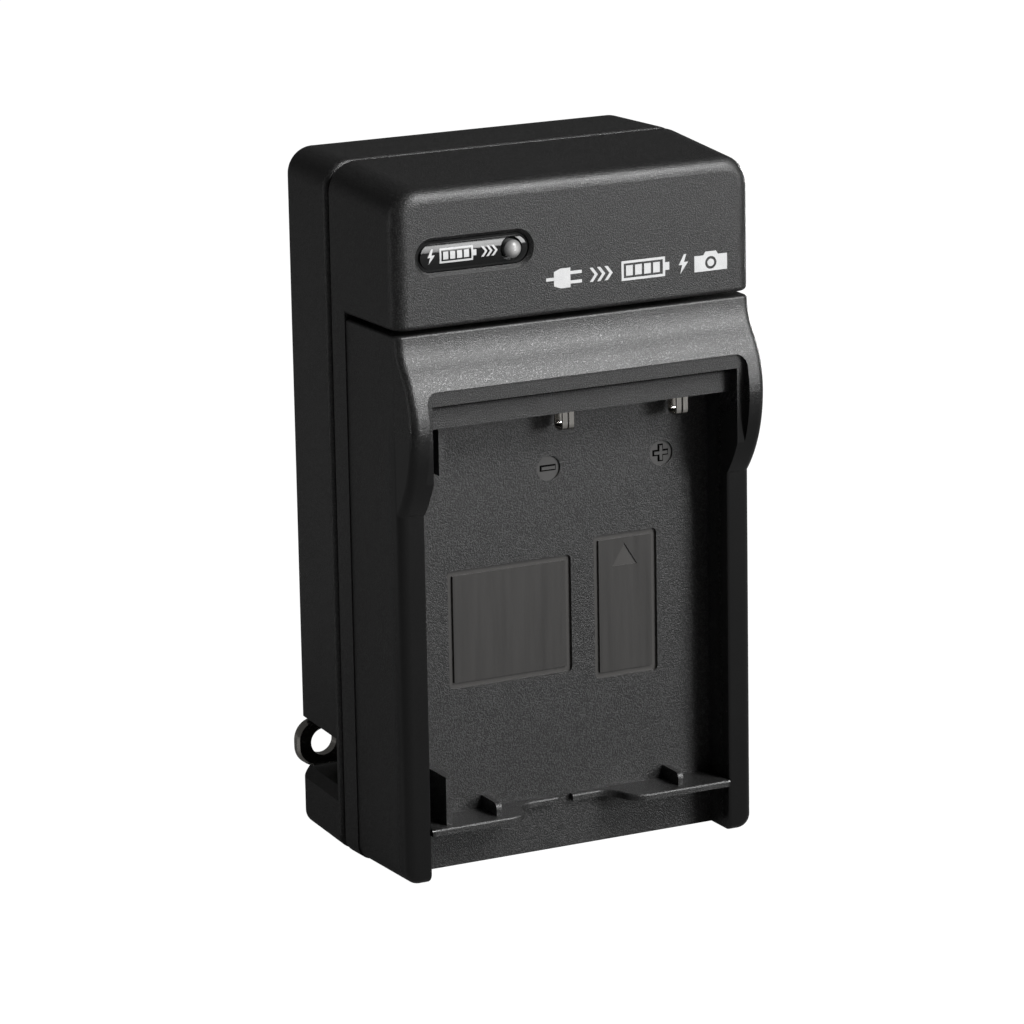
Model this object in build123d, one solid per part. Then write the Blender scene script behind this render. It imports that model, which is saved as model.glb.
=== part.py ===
"""Camera battery charger: a two-part case with a battery cradle on its front and folding blades on its back.

Millimetres. +Z is up, the cradle faces -Y, and the origin is the centre of the base.
"""
from build123d import *
import os

# Case outline: its size at the split, and how it draws in towards the front and the back
split_width = 51.0
split_height = 90.0
front_draft = 0.5
back_draft = 0.85
front_drop = 1.2
back_drop = 0.2
front_depth = 18.2
rear_depth = 13.9
front_corner = 3.8
split_corner = 3.8
back_corner = 3.4
base_corner = 2.0
least_corner = 0.45
case_wall = 1.8

# Rounded edges and the groove between the two halves of the case
front_edge = 1.9
split_edge = 0.3
rim_edge = 0.7
back_edge = 0.9
split_gap = 1.1
lip_wall = 0.8
lip_clearance = 0.3
lip_reach = 1.0
lip_root = 2.5

# Cradle plate, bay and arch, with heights measured down from the seam under the upper block
upper_block = 18.9
seam_gap = 0.6
seam_edge = 0.6
cradle_depth = 13.9
plate_inset = 0.15
plate_edge = 0.35
panel_wall = 2.4
plate_gap = 0.3
lug_proud = 0.5
lug_clearance = 0.15
lug_width = 1.5
lug_setback = 2.5
lug_length = 10.0
lug_low_height = 20.0
lug_high_drop = 21.1
wall_setback = 0.3
wall_edge = 1.2
bay_edge = 0.35
bay_wall = 3.55
bay_depth = 5.6
floor_wall = 1.8
arch_bulge = 3.85
arch_apex_drop = 11.9
arch_foot_drop = 23.1
arch_top_setback = 0.2
arch_edge = 1.0
arch_upper_share = 0.66
arch_wall = 1.5
arch_ear = 2.5
opening_drop = 7.0
opening_corner = 1.5
ledge_depth = 2.5
ledge_drop = 8.9
shelf_proud = 0.65
shelf_drop = 12.2
shelf_wall = 1.4

# Spring tabs, their stops and the guide ribs in the bay
tab_height = 7.2
tab_wall = 0.85
tab_edge = 0.3
tab_gap = 2.2
tab_gap_offset = -0.2
tab_tip_depth = 0.9
left_tab_shoulder = -10.2
right_tab_shoulder = 9.6
tab_curve = 5.5
tab_curve_share = 0.5
stop_height = 1.7
stop_wall = 0.75
stop_depth = 4.3
left_stop_x = -11.4
right_stop_x = 14.85
rib_offset = 2.85
rib_wall = 0.8
rib_depth = 4.6
upper_rib_length = 6.4
lower_rib_length = 6.3

# Marks on the bay floor, with heights measured down from the shelf
disc_drop = 8.5
disc_diameter = 3.3
disc_recess = 0.25
minus_x = -1.4
plus_x = 14.8
sign_length = 1.9
sign_width = 0.4
sign_proud = 0.2
field_recess = 0.35
field_proud = 0.28
left_field_x = -7.2
left_field_drop = 27.8
left_field_size = (17.5, 15.4)
right_field_x = 9.4
right_field_drop = 27.65
right_field_size = (9.1, 18.9)
field_border = 0.75
field_corner = 0.6
arrow_offset = -0.05
arrow_rise = 5.1
arrow_width = 3.6
arrow_length = 2.85
arrow_recess = 0.15

# Charge window and lamp
window_side = 2.8
window_drop = 9.7
window_length = 16.4
window_width = 4.9
window_depth = 1.3
window_setback = 0.3
window_clearance = 0.1
window_bevel = 0.45
window_rim = 0.35
window_rim_drop = 0.35
window_crown = 0.25
led_offset = 5.2
led_radius = 1.15
led_dome = 0.6
led_proud = 0.1
led_gap = 0.35
led_clearance = 0.12
led_depth = 4.3
led_flange_radius = 1.8
led_flange = 0.9
lead_width = 0.5
lead_pitch = 2.54

# Spring contacts under the shelf
contact_spacing = 16.3
contact_x = -0.6
contact_width = 1.6
contact_wall = 0.3
contact_arm_rise = 2.3
contact_nose_drop = 2.9
contact_nose_depth = 2.7
contact_nose_radius = 1.05
contact_tip_length = 2.2
contact_foot = 3.2
contact_bend = 0.6
contact_split = 0.25
contact_solder_gap = 0.1
tang_offset = 2.65
tang_width = 0.5
tang_drop = 1.1
tang_arm = 0.7
slot_width = 4.7
slot_offset = -0.75
slot_front = 1.0
slot_back = 4.6

# Circuit board and what it carries
pedestal_wall = 1.5
standoff = 2.0
standoff_radius = 2.2
board_wall = 1.6
board_side_gap = 0.8
board_low = 25.0
board_over_lamp = 2.2
board_screw_inset = 3.0
board_screw_rise = 4.5
board_screw_drop = 16.1
board_screw_radius = 0.9
board_screw_head = 1.6
board_screw_cap = 1.0
board_screw_length = 4.4
board_notch_clearance = 0.4

# Transformer: a core of two E halves round a bobbin, with one winding
core_rise = 22.0
core_width = 19.0
core_length = 16.0
core_wall = 5.0
core_leg = 4.8
core_outer_leg = 2.6
core_yoke = 2.6
core_setback = 7.2
bobbin_wall = 0.6
bobbin_flange = 0.8
bobbin_clearance = 0.1
winding_build = 3.0
winding_corner = 1.2

# Smaller parts on the board
capacitor_x = 8.5
capacitor_rise = 43.0
bulk_capacitor_radius = 5.0
bulk_capacitor_length = 15.0
output_capacitor_radius = 4.0
output_capacitor_length = 11.5
capacitor_groove = 0.4
capacitor_groove_setback = 2.0
diode_xs = (-15.0, -10.0, 10.0, 15.0)
diode_rise = 11.5
diode_radius = 1.3
diode_length = 5.0
fuse_rise = 7.0
fuse_radius = 1.7
fuse_length = 7.0
wire_radius = 0.35
wire_reach = 1.5
axial_standoff = 0.3
transistor_x = 14.0
transistor_rise = 29.0
transistor_width = 4.7
transistor_depth = 3.6
transistor_length = 4.6
transistor_standoff = 2.0
leg_width = 0.45
leg_pitch = 1.27
chip_x = -14.5
chip_rise = 29.0
chip_size = (3.9, 4.9)
chip_wall = 1.5
chip_leg_reach = 1.0
chip_side_legs = 4

# Folding blades: standard flat mains blades, with their hubs, saddles and retainer
blade_spacing = 12.7
blade_width = 6.35
blade_wall = 1.5
blade_proud = 0.6
blade_tip_corner = 2.75
blade_tip_edge = 0.3
blade_hole = 3.6
blade_hole_setback = 3.7
blade_tail = 2.6
blade_offset = 1.1
blade_height = 11.3
blade_clearance = 0.3
pivot_depth = 2.25
hub_radius = 2.1
hub_reach = 1.4
trunnion_radius = 1.2
trunnion_length = 1.8
trunnion_clearance = 0.05
trunnion_end_gap = 0.15
pocket_radius = 3.5
pocket_clearance = 0.3
housing_depth = 7.2
housing_wall = 1.5
retainer_wall = 1.6
retainer_border = 1.4
retainer_screw_radius = 0.9
retainer_screw_head = 1.6
retainer_screw_cap = 0.9
retainer_screw_length = 4.0
notch_floor = 7.8
notch_high = 14.8
notch_reach = 6.5
notch_setback = 0.8
notch_flare = 1.3
notch_flare_reach = 1.05
notch_wall = 1.0
channel_wall = 1.6

# Brass leaves from the blades to the board
plug_leaf_width = 3.0
plug_leaf_wall = 0.4
plug_leaf_gap = 0.3
plug_leaf_bend = 0.8
plug_leaf_foot = 3.0
plug_leaf_pad = 4.2
plug_window_clearance = 0.5

# Case screws and the posts they run in
post_radius = 3.1
upper_post_inset = 6.9
upper_post_drop = 6.6
lower_post_inset = 8.3
lower_post_height = 20.5
post_gap = 0.1
screw_radius = 1.1
screw_pilot_clearance = 0.02
screw_hole_clearance = 0.3
screw_head_radius = 2.0
screw_head_cap = 1.5
screw_sink = 7.0
screw_sink_clearance = 0.3
screw_length = 10.0
screw_drive_width = 0.42
screw_drive_depth = 0.8
screw_drive_share = 0.7

# Bare label field on the back
label_width = 34.0
label_low = 34.0
label_drop = 16.0
label_recess = 0.3
label_corner = 1.5

# Upright planes, from the front of the arch to the back of the case
front_y = arch_bulge - (arch_bulge + front_depth + rear_depth) / 2
split_y = front_y + front_depth
back_y = split_y + rear_depth
wall_y = front_y + wall_setback
floor_y = front_y + bay_depth
floor_back_y = floor_y + floor_wall
cradle_back_y = front_y + cradle_depth
pedestal_y = floor_back_y + plate_gap
pedestal_inner_y = pedestal_y + pedestal_wall
board_y = pedestal_inner_y + standoff
board_back_y = board_y + board_wall
shelf_y = front_y - shelf_proud
ledge_y = front_y - ledge_depth
pivot_y = back_y - pivot_depth
housing_y = back_y - housing_depth
front_half_end = split_y - split_gap / 2
rear_half_start = split_y + split_gap / 2
post_meet_y = split_y + lip_reach

# Widths and heights of the case at its front and back
front_width = split_width - 2 * front_draft
back_width = split_width - 2 * back_draft
front_height = split_height - front_drop
back_height = split_height - back_drop

# Levels, from the top down
seam_height = split_height - upper_block
cradle_top = seam_height - seam_gap / 2
block_bottom = seam_height + seam_gap / 2
window_height = split_height - window_drop
opening_height = seam_height - opening_drop
ledge_height = seam_height - ledge_drop
shelf_height = seam_height - shelf_drop
disc_height = shelf_height - disc_drop
left_field_height = shelf_height - left_field_drop
right_field_height = shelf_height - right_field_drop
contact_arm_height = shelf_height + contact_arm_rise
contact_nose_height = shelf_height - contact_nose_drop
board_high = window_height + board_over_lamp
label_high = split_height - label_drop
lug_heights = (lug_low_height, seam_height - lug_high_drop)
core_height = board_low + core_rise
notch_low = notch_floor - notch_flare

# Places across the width
bay_half = front_width / 2 - bay_wall
opening_width = front_width - 2 * arch_ear
rib_x = rib_offset - bay_half
arrow_x = right_field_x + arrow_offset
plate_half = front_width / 2 - plate_inset
window_x = window_side + window_length / 2 - front_width / 2
led_x = window_x + led_offset
blade_tip_x = split_width / 2 + blade_proud
pedestal_half = front_width / 2 - panel_wall - plate_gap
pedestal_low = panel_wall + plate_gap
board_half = pedestal_half - pedestal_wall - board_side_gap
hub_x = blade_spacing / 2 + blade_offset
hub_half = blade_width / 2 + hub_reach
contact_places = {"contact_negative": contact_x, "contact_positive": contact_x + contact_spacing}
upper_post = (split_width / 2 - upper_post_inset, split_height - upper_post_drop)
lower_post = (split_width / 2 - lower_post_inset, lower_post_height)
post_places = [(side * x, z) for side in (-1, 1) for x, z in (upper_post, lower_post)]
board_screw_heights = (board_low + board_screw_rise, board_high - board_screw_drop)
board_screw_x = board_half - board_screw_inset
board_screw_places = [(side * board_screw_x, z) for side in (-1, 1) for z in board_screw_heights]
far = 2 * (split_width + split_height)


def block(x_span, y_span, z_span):
    """Box between two values on each axis."""
    spans = (x_span, y_span, z_span)
    centre = [(low + high) / 2 for low, high in spans]
    size = [high - low for low, high in spans]
    return Pos(*centre) * Box(*size)


def rod_y(x, z, radius, y_start, y_end):
    """Round bar along Y."""
    return Pos(x, (y_start + y_end) / 2, z) * Rot(90, 0, 0) * Cylinder(radius, y_end - y_start)


def rod_z(x, y, radius, z_start, z_end):
    """Round bar along Z."""
    return Pos(x, y, (z_start + z_end) / 2) * Cylinder(radius, z_end - z_start)


def upright(shape, y):
    """A flat shape drawn in X and Z, placed at a depth."""
    return Plane.XZ.offset(-y) * shape


def slab(shape, y_start, y_end):
    """A flat shape drawn in X and Z, given thickness from one depth to another."""
    return extrude(upright(shape, y_start), amount=y_end - y_start, dir=(0, 1, 0))


def outline(width, height, top_corner, inset=0.0):
    """Case outline that stands on the base, shrunk inwards all round by the inset."""
    shape = Pos(0, height / 2) * Rectangle(width - 2 * inset, height - 2 * inset)
    shape = fillet(shape.vertices().group_by(Axis.Y)[-1], max(top_corner - inset, least_corner))
    return fillet(shape.vertices().group_by(Axis.Y)[0], max(base_corner - inset, least_corner))


def front_half(inset=0.0):
    """Front half of the case, from the front face to the split."""
    return loft([
        upright(outline(front_width, front_height, front_corner, inset), front_y),
        upright(outline(split_width, split_height, split_corner, inset), front_half_end),
    ])


def rear_half(inset=0.0):
    """Rear half of the case, from the split to the back."""
    return loft([
        upright(outline(split_width, split_height, split_corner, inset), rear_half_start),
        upright(outline(back_width, back_height, back_corner, inset), back_y),
    ])


def s_curve(start, finish, share, along):
    """Two tangent arcs between two points, leaving and arriving in the same direction."""
    first_point = Vector(*start)
    last_point = Vector(*finish)
    knee = first_point + (last_point - first_point) * share
    first = TangentArc(first_point, knee, tangent=along)
    second = TangentArc(knee, last_point, tangent=first % 1)
    return [first, second]


def bent_strip(points, radius, wall, x_centre, width):
    """Sheet strip that follows points in Y and Z, with rounded bends."""
    path = FilletPolyline(*points, radius=radius)
    section = Plane.YZ * trace(path, wall)
    return Pos(x_centre, 0, 0) * extrude(section, amount=width / 2, both=True)


def make_front_shell():
    """Upper block, pedestal behind the cradle, flange at the split and the screw bosses."""
    half = front_half()
    half = fillet(half.faces().sort_by(Axis.Y)[0].edges(), front_edge)
    half = fillet(half.faces().sort_by(Axis.Y)[-1].edges(), split_edge)
    upper = half & block((-far, far), (-far, cradle_back_y), (block_bottom, far))
    under_edges = [edge for edge in upper.edges().group_by(Axis.Z)[0]
                   if edge.center().Y < cradle_back_y - seam_edge]
    upper = fillet(under_edges, seam_edge)
    flange = half & block((-far, far), (cradle_back_y, far), (-far, far))
    pedestal = block((-pedestal_half, pedestal_half), (pedestal_y, cradle_back_y + case_wall),
                     (pedestal_low, block_bottom + case_wall))
    shell = upper + flange + pedestal

    hollow = front_half(case_wall)
    shell -= hollow & block((-far, far), (front_y + case_wall, far), (block_bottom + case_wall, far))
    shell -= hollow & block((-far, far), (cradle_back_y + case_wall, far), (-far, far))
    inner_half = pedestal_half - pedestal_wall
    shell -= block((-inner_half, inner_half), (pedestal_inner_y, split_y),
                   (pedestal_low + pedestal_wall, block_bottom + 2 * case_wall))

    lip_inset = case_wall + lip_clearance
    lip_shape = outline(split_width, split_height, split_corner, lip_inset)
    lip_bore = outline(split_width, split_height, split_corner, lip_inset + lip_wall)
    lip_base = outline(split_width, split_height, split_corner, case_wall / 2)
    shell += slab(lip_shape - lip_bore, front_half_end - lip_root, post_meet_y)
    shell += slab(lip_base - lip_bore, front_half_end - lip_root, front_half_end)
    shell -= block((-far, far), (front_half_end, far),
                   (notch_low - 2 * notch_wall, notch_high + 2 * notch_wall))

    for x, z in post_places:
        boss_start = front_y + case_wall if z > block_bottom else pedestal_inner_y
        shell += rod_y(x, z, post_radius, boss_start - case_wall / 2, post_meet_y)
        pilot = screw_radius + screw_pilot_clearance
        shell -= rod_y(x, z, pilot, post_meet_y - screw_length, post_meet_y + screw_length)
    for x, z in board_screw_places:
        shell += rod_y(x, z, standoff_radius, pedestal_inner_y - pedestal_wall / 2, board_y)
        pilot = board_screw_radius + screw_pilot_clearance
        shell -= rod_y(x, z, pilot, board_back_y - board_screw_length, board_y + standoff)

    for lug in make_lugs(lug_clearance):
        shell -= lug
    for x in contact_places.values():
        shell -= block((x - contact_width, x + contact_width),
                       (pedestal_y - plate_gap, pedestal_inner_y + plate_gap),
                       (contact_arm_height - contact_width / 2, contact_arm_height + contact_width))

    bevels = [upright(window_shape(reach), front_y + reach) for reach in (-window_bevel, window_bevel)]
    shell -= loft(bevels)
    shell -= slab(window_shape(window_bevel), front_y, front_y + window_depth)
    shell -= rod_y(led_x, window_height, led_radius + led_clearance, front_y, front_y + 2 * case_wall)
    return shell


def make_rear_shell():
    """Back of the case with the blade housing, channel, finger notches, posts and bare label field."""
    half = rear_half()
    half = fillet(half.faces().sort_by(Axis.Y)[0].edges(), rim_edge)
    half = fillet(half.faces().sort_by(Axis.Y)[-1].edges(), back_edge)
    shell = half - (rear_half(case_wall) & block((-far, far), (-far, back_y - case_wall), (-far, far)))

    housing_half = hub_x + pocket_radius + housing_wall
    housing_top = blade_height + hub_half + trunnion_length + housing_wall
    inner = block((-housing_half, housing_half), (housing_y, back_y), (0, housing_top))
    channel_half = blade_width / 2 + blade_clearance
    channel_low = blade_height - channel_half
    channel_high = blade_height + channel_half
    inner += block((-back_width / 2, back_width / 2), (pivot_y - channel_wall, back_y),
                   (channel_low - channel_wall, channel_high + channel_wall))
    notch_x = split_width / 2 - notch_reach
    for side in (-1, 1):
        near, away = sorted((side * (notch_x - notch_wall), side * split_width))
        inner += block((near, away), (rear_half_start, back_y),
                       (notch_low - notch_wall, notch_high + notch_wall))
    for x, z in post_places:
        inner += rod_y(x, z, post_radius, post_meet_y + post_gap, back_y)
    shell += inner & half

    for side in (-1, 1):
        near, away = sorted((side * hub_x, side * split_width))
        shell -= block((near, away), (pivot_y, back_y + case_wall), (channel_low, channel_high))
        pocket_half = hub_half + pocket_clearance
        shell -= rod_z(side * hub_x, pivot_y, pocket_radius,
                       blade_height - pocket_half, blade_height + pocket_half)
        shell -= make_notch(side, notch_x)
        for end in (-1, 1):
            shell -= make_saddle(side, end, trunnion_radius + trunnion_clearance)
        leaf_x = side * blade_spacing / 2
        leaf_half = plug_leaf_width / 2 + plug_window_clearance
        pad_half = plug_leaf_pad / 2 + plug_window_clearance
        shell -= block((leaf_x - leaf_half, leaf_x + leaf_half), (housing_y - case_wall, pivot_y),
                       (blade_height - pad_half, blade_height + pad_half))
    for x, z in post_places:
        hole = screw_radius + screw_hole_clearance
        shell -= rod_y(x, z, hole, post_meet_y, back_y)
        sink = screw_head_radius + screw_sink_clearance
        shell -= rod_y(x, z, sink, back_y - screw_sink, back_y + case_wall)
    for z in retainer_screw_heights():
        pilot = retainer_screw_radius + screw_pilot_clearance
        shell -= rod_y(0, z, pilot, housing_y - case_wall, housing_y + retainer_screw_length)

    label = RectangleRounded(label_width, label_high - label_low, label_corner)
    label = Pos(0, (label_low + label_high) / 2) * label
    shell -= slab(label, back_y - label_recess, back_y + case_wall)
    return shell


def make_notch(side, notch_x):
    """Finger notch through one side and the back, with a lower face that falls away at its mouth."""
    taper = back_draft / (back_y - rear_half_start)
    sections = []
    for y in (rear_half_start + notch_setback, back_y + case_wall):
        mouth = split_width / 2 - taper * (y - rear_half_start)
        points = [
            (notch_x, notch_floor),
            (mouth - notch_flare_reach, notch_floor),
            (mouth + notch_flare_reach, notch_floor - 2 * notch_flare),
            (mouth + notch_flare_reach, notch_high),
            (notch_x, notch_high),
        ]
        shape = make_face(Polyline(*[(side * x, z) for x, z in points], close=True))
        sections.append(upright(shape, y))
    return loft(sections, ruled=True)


def make_saddle(side, end, radius):
    """Slot for one trunnion, open to the inside of the case, with a round seat."""
    reach = hub_half + trunnion_length + trunnion_end_gap
    near, away = sorted((blade_height + end * hub_half, blade_height + end * reach))
    x = side * hub_x
    seat = rod_z(x, pivot_y, radius, near, away)
    return seat + block((x - radius, x + radius), (housing_y - case_wall, pivot_y), (near, away))


def make_cradle_plate():
    """Arch, ears, side walls, floor, shelf and everything moulded with them."""
    case = loft([
        upright(outline(front_width, front_height, front_corner, plate_inset), wall_y),
        upright(outline(split_width, split_height, split_corner, plate_inset), split_y),
    ])
    case = fillet(case.faces().sort_by(Axis.Y)[0].edges(), wall_edge)
    plate = case & block((-far, far), (-far, cradle_back_y), (-far, cradle_top))
    plate -= block((-bay_half, bay_half), (-far, floor_y), (-far, shelf_height))
    inner_edges = [edge for edge in plate.edges().filter_by(Axis.Z)
                   if abs(edge.center().Y - wall_y) < plate_gap / 4
                   and abs(abs(edge.center().X) - bay_half) < plate_gap]
    plate = fillet(inner_edges, bay_edge)

    plate += make_arch()
    step = Pos(0, opening_height - far / 2) * Rectangle(opening_width, far)
    step = fillet(step.vertices().group_by(Axis.Y)[-1], opening_corner)
    plate -= slab(step, front_y - far, ledge_y)
    plate -= block((-bay_half, bay_half), (-far, shelf_y), (-far, ledge_height))
    plate -= block((-bay_half, bay_half), (-far, floor_y), (-far, shelf_height))

    inner_half = pedestal_half + plate_gap
    plate -= block((-inner_half, inner_half), (floor_back_y, far), (panel_wall, far))
    for lug in make_lugs(0.0):
        plate += lug
    hollow_half = bay_half - arch_wall
    plate -= block((-hollow_half, hollow_half), (shelf_y + arch_wall, far),
                   (shelf_height + shelf_wall, cradle_top - arch_wall))
    for x in contact_places.values():
        middle = x + slot_offset
        plate -= block((middle - slot_width / 2, middle + slot_width / 2),
                       (front_y + slot_front, front_y + slot_back),
                       (shelf_height - shelf_wall, shelf_height + 2 * shelf_wall))

    plate = add_marks(plate)
    plate += make_tab(left_tab_shoulder, -bay_half, tab_gap_offset - tab_gap / 2, left_stop_x)
    plate += make_tab(right_tab_shoulder, bay_half, tab_gap_offset + tab_gap / 2, right_stop_x)
    ribs = ((shelf_height - upper_rib_length, shelf_height), (tab_height, tab_height + lower_rib_length))
    for low, high in ribs:
        plate += block((rib_x - rib_wall / 2, rib_x + rib_wall / 2), (floor_y - rib_depth, floor_y),
                       (low, high))
    outer_edges = [edge for edge in plate.edges().group_by(Axis.Z)[-1]
                   if edge.center().Y < cradle_back_y - plate_gap
                   and (edge.center().Y < floor_y or abs(edge.center().X) > inner_half + plate_gap)]
    return fillet(outer_edges, plate_edge)


def make_lugs(clearance):
    """Snap lugs inside the cradle's side panels, or the grooves for them when given a clearance."""
    lugs = []
    outer = pedestal_half + plate_gap + lug_width / 4
    inner = pedestal_half + plate_gap - lug_proud - clearance
    start = cradle_back_y - lug_setback - lug_width - clearance
    for side in (-1, 1):
        for z in lug_heights:
            lugs.append(block(sorted((side * inner, side * outer)),
                              (start, start + lug_width + 2 * clearance),
                              (z - lug_length / 2 - clearance, z + lug_length / 2 + clearance)))
    return lugs


def make_arch():
    """Bulging band across the top of the bay, with an ear running down each side wall."""
    foot = (wall_y, seam_height - arch_foot_drop)
    apex = (front_y - arch_bulge, seam_height - arch_apex_drop)
    crown = (front_y + arch_top_setback, cradle_top)
    back_low = (floor_y, foot[1])
    back_high = (floor_y, cradle_top)
    edges = [TangentArc(apex, foot, tangent=(0, -1))]
    edges += s_curve(apex, crown, arch_upper_share, (0, 1))
    edges += [Line(crown, back_high), Line(back_high, back_low), Line(back_low, foot)]
    band = extrude(Plane.YZ * make_face(edges), amount=plate_half, both=True)
    side_edges = [edge for edge in band.edges()
                  if abs(abs(edge.center().X) - plate_half) < plate_gap
                  and edge.geom_type == GeomType.CIRCLE]
    return fillet(side_edges, arch_edge)


def make_tab(shoulder, root, tip, stop_x):
    """Leaf that springs up under the battery: full depth at the wall, curving back to a narrow tip."""
    direction = 1 if tip > root else -1
    curve_end = shoulder + direction * tab_curve
    tip_y = floor_y - tab_tip_depth
    edges = [Line((root, floor_y), (root, front_y)), Line((root, front_y), (shoulder, front_y))]
    edges += s_curve((shoulder, front_y), (curve_end, tip_y), tab_curve_share, (direction, 0))
    edges += [Line((curve_end, tip_y), (tip, tip_y)), Line((tip, tip_y), (tip, floor_y)),
              Line((tip, floor_y), (root, floor_y))]
    leaf = extrude(Pos(0, 0, tab_height - tab_wall) * make_face(edges), amount=tab_wall)
    rim = [edge for edge in leaf.edges().group_by(Axis.Z)[-1]
           if edge.center().Y < (floor_y + tip_y) / 2 and abs(edge.center().X - root) > tab_edge
           and abs(edge.center().X - tip) > tab_edge]
    leaf = fillet(rim, tab_edge)
    stop = block((stop_x - stop_wall / 2, stop_x + stop_wall / 2), (floor_y - stop_depth, floor_y),
                 (tab_height - tab_wall / 2, tab_height + stop_height))
    nose = [edge for edge in stop.edges().filter_by(Axis.X)
            if edge.center().Y < floor_y - stop_depth / 2 and edge.center().Z > tab_height]
    return leaf + fillet(nose, stop_height / 2)


def add_marks(plate):
    """Polarity discs, two recessed fields and the arrow on the bay floor."""
    for x in (minus_x, plus_x):
        bottom = floor_y + disc_recess
        plate -= rod_y(x, disc_height, disc_diameter / 2, floor_y - case_wall, bottom)
        bars = [(sign_length, sign_width)]
        if x == plus_x:
            bars.append((sign_width, sign_length))
        for bar_length, bar_height in bars:
            plate += block((x - bar_length / 2, x + bar_length / 2),
                           (bottom - sign_proud, bottom + disc_recess),
                           (disc_height - bar_height / 2, disc_height + bar_height / 2))
    fields = ((left_field_x, left_field_height, left_field_size),
              (right_field_x, right_field_height, right_field_size))
    for x, z, size in fields:
        bottom = floor_y + field_recess
        plate -= slab(Pos(x, z) * RectangleRounded(*size, field_corner), floor_y - case_wall, bottom)
        inner = [length - 2 * field_border for length in size]
        plate += slab(Pos(x, z) * Rectangle(*inner), bottom - field_proud, bottom + field_recess)
    arrow_top = floor_y + field_recess - field_proud
    arrow_base = right_field_height + arrow_rise
    corners = [(arrow_x - arrow_width / 2, arrow_base), (arrow_x + arrow_width / 2, arrow_base),
               (arrow_x, arrow_base + arrow_length)]
    arrow = make_face(Polyline(*corners, close=True))
    return plate - slab(arrow, floor_y, arrow_top + arrow_recess)


def window_shape(inset):
    """Pill outline of the charge window, shrunk inwards by the inset."""
    shape = SlotOverall(window_length - 2 * inset, window_width - 2 * inset)
    return Pos(window_x, window_height) * shape


def make_charge_window():
    """Glossy insert in the pill-shaped recess: a crowned field on a flat rim, with a hole for the lamp."""
    front = front_y + window_setback
    back = front_y + window_depth
    rim_inset = window_bevel + window_clearance
    field_inset = rim_inset + window_rim
    field_half = window_width / 2 - field_inset
    radius = (field_half ** 2 + window_crown ** 2) / (2 * window_crown)
    crown = Pos(window_x, front + radius, window_height) * Rot(0, 90, 0) * Cylinder(radius, window_length)
    insert = slab(window_shape(field_inset), front, back) & crown
    insert += slab(window_shape(rim_inset), front + window_rim_drop, back)
    return insert - rod_y(led_x, window_height, led_radius + led_gap, front, back)


def make_status_led():
    """Round lamp, turned about its own axis: a dome on a barrel with a flange at its foot."""
    barrel_start = front_y - led_proud
    barrel_end = front_y + led_depth
    foot = barrel_end + led_flange
    tip = (0, barrel_start - led_dome)
    shoulder = (led_radius, barrel_start)
    sides = [shoulder, (led_radius, barrel_end), (led_flange_radius, barrel_end), (led_flange_radius, foot),
             (0, foot), tip]
    profile = make_face([TangentArc(tip, shoulder, tangent=(1, 0)), Polyline(*sides)])
    return Pos(led_x, 0, window_height) * revolve(profile, Axis.Y)


def make_status_led_leads():
    """Two square wires from the lamp to the board."""
    start = front_y + led_depth + led_flange
    leads = []
    for side in (-1, 1):
        x = led_x + side * lead_pitch / 2
        leads.append(block((x - lead_width / 2, x + lead_width / 2), (start, board_y),
                           (window_height - lead_width / 2, window_height + lead_width / 2)))
    return group(lead.solid() for lead in leads)


def make_contact(x):
    """Nickel leaf: a foot on the board, an arm, a U-shaped nose split in two fingers and a side tang."""
    foot_y = board_y - contact_solder_gap - contact_wall / 2
    nose_y = front_y + contact_nose_depth
    back_leg_y = nose_y + contact_nose_radius
    front_leg_y = nose_y - contact_nose_radius
    low = contact_nose_height + contact_wall / 2
    points = [
        (foot_y, contact_arm_height - contact_foot),
        (foot_y, contact_arm_height),
        (back_leg_y, contact_arm_height),
        (back_leg_y, low),
        (front_leg_y, low),
        (front_leg_y, low + contact_tip_length),
    ]
    leaf = bent_strip(points, contact_bend, contact_wall, x, contact_width)
    leaf -= block((x - contact_split / 2, x + contact_split / 2), (-far, nose_y + contact_nose_radius / 2),
                  (-far, contact_arm_height - contact_bend))
    span = (back_leg_y - contact_wall / 2, back_leg_y + contact_wall / 2)
    tang_x = x - tang_offset
    top = contact_arm_height - contact_bend
    tang_side = tang_x - tang_width / 2
    leaf += block((tang_side, x), span, (top - tang_arm, top))
    return leaf + block((tang_side, tang_side + tang_width), span, (shelf_height - tang_drop, top))


def make_board():
    """Circuit board with holes for its screws."""
    board = block((-board_half, board_half), (board_y, board_back_y), (board_low, board_high))
    for x, z in board_screw_places:
        board -= rod_y(x, z, board_screw_radius + screw_pilot_clearance, board_y, board_back_y)
    for x, z in post_places:
        board -= rod_y(x, z, post_radius + board_notch_clearance, board_y, board_back_y)
    return board


def make_transformer_core():
    """Ferrite frame with a centre leg."""
    middle_y = board_back_y + core_setback
    shape = Pos(0, core_height) * Rectangle(core_width, core_length)
    space = core_width / 2 - core_leg / 2 - core_outer_leg
    space_x = core_leg / 2 + space / 2
    for side in (-1, 1):
        shape -= Pos(side * space_x, core_height) * Rectangle(space, core_length - 2 * core_yoke)
    return slab(shape, middle_y - core_wall / 2, middle_y + core_wall / 2)


def bobbin_tube():
    """Outside width and depth of the bobbin's tube."""
    return [leg + 2 * bobbin_clearance + 2 * bobbin_wall for leg in (core_leg, core_wall)]


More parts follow.
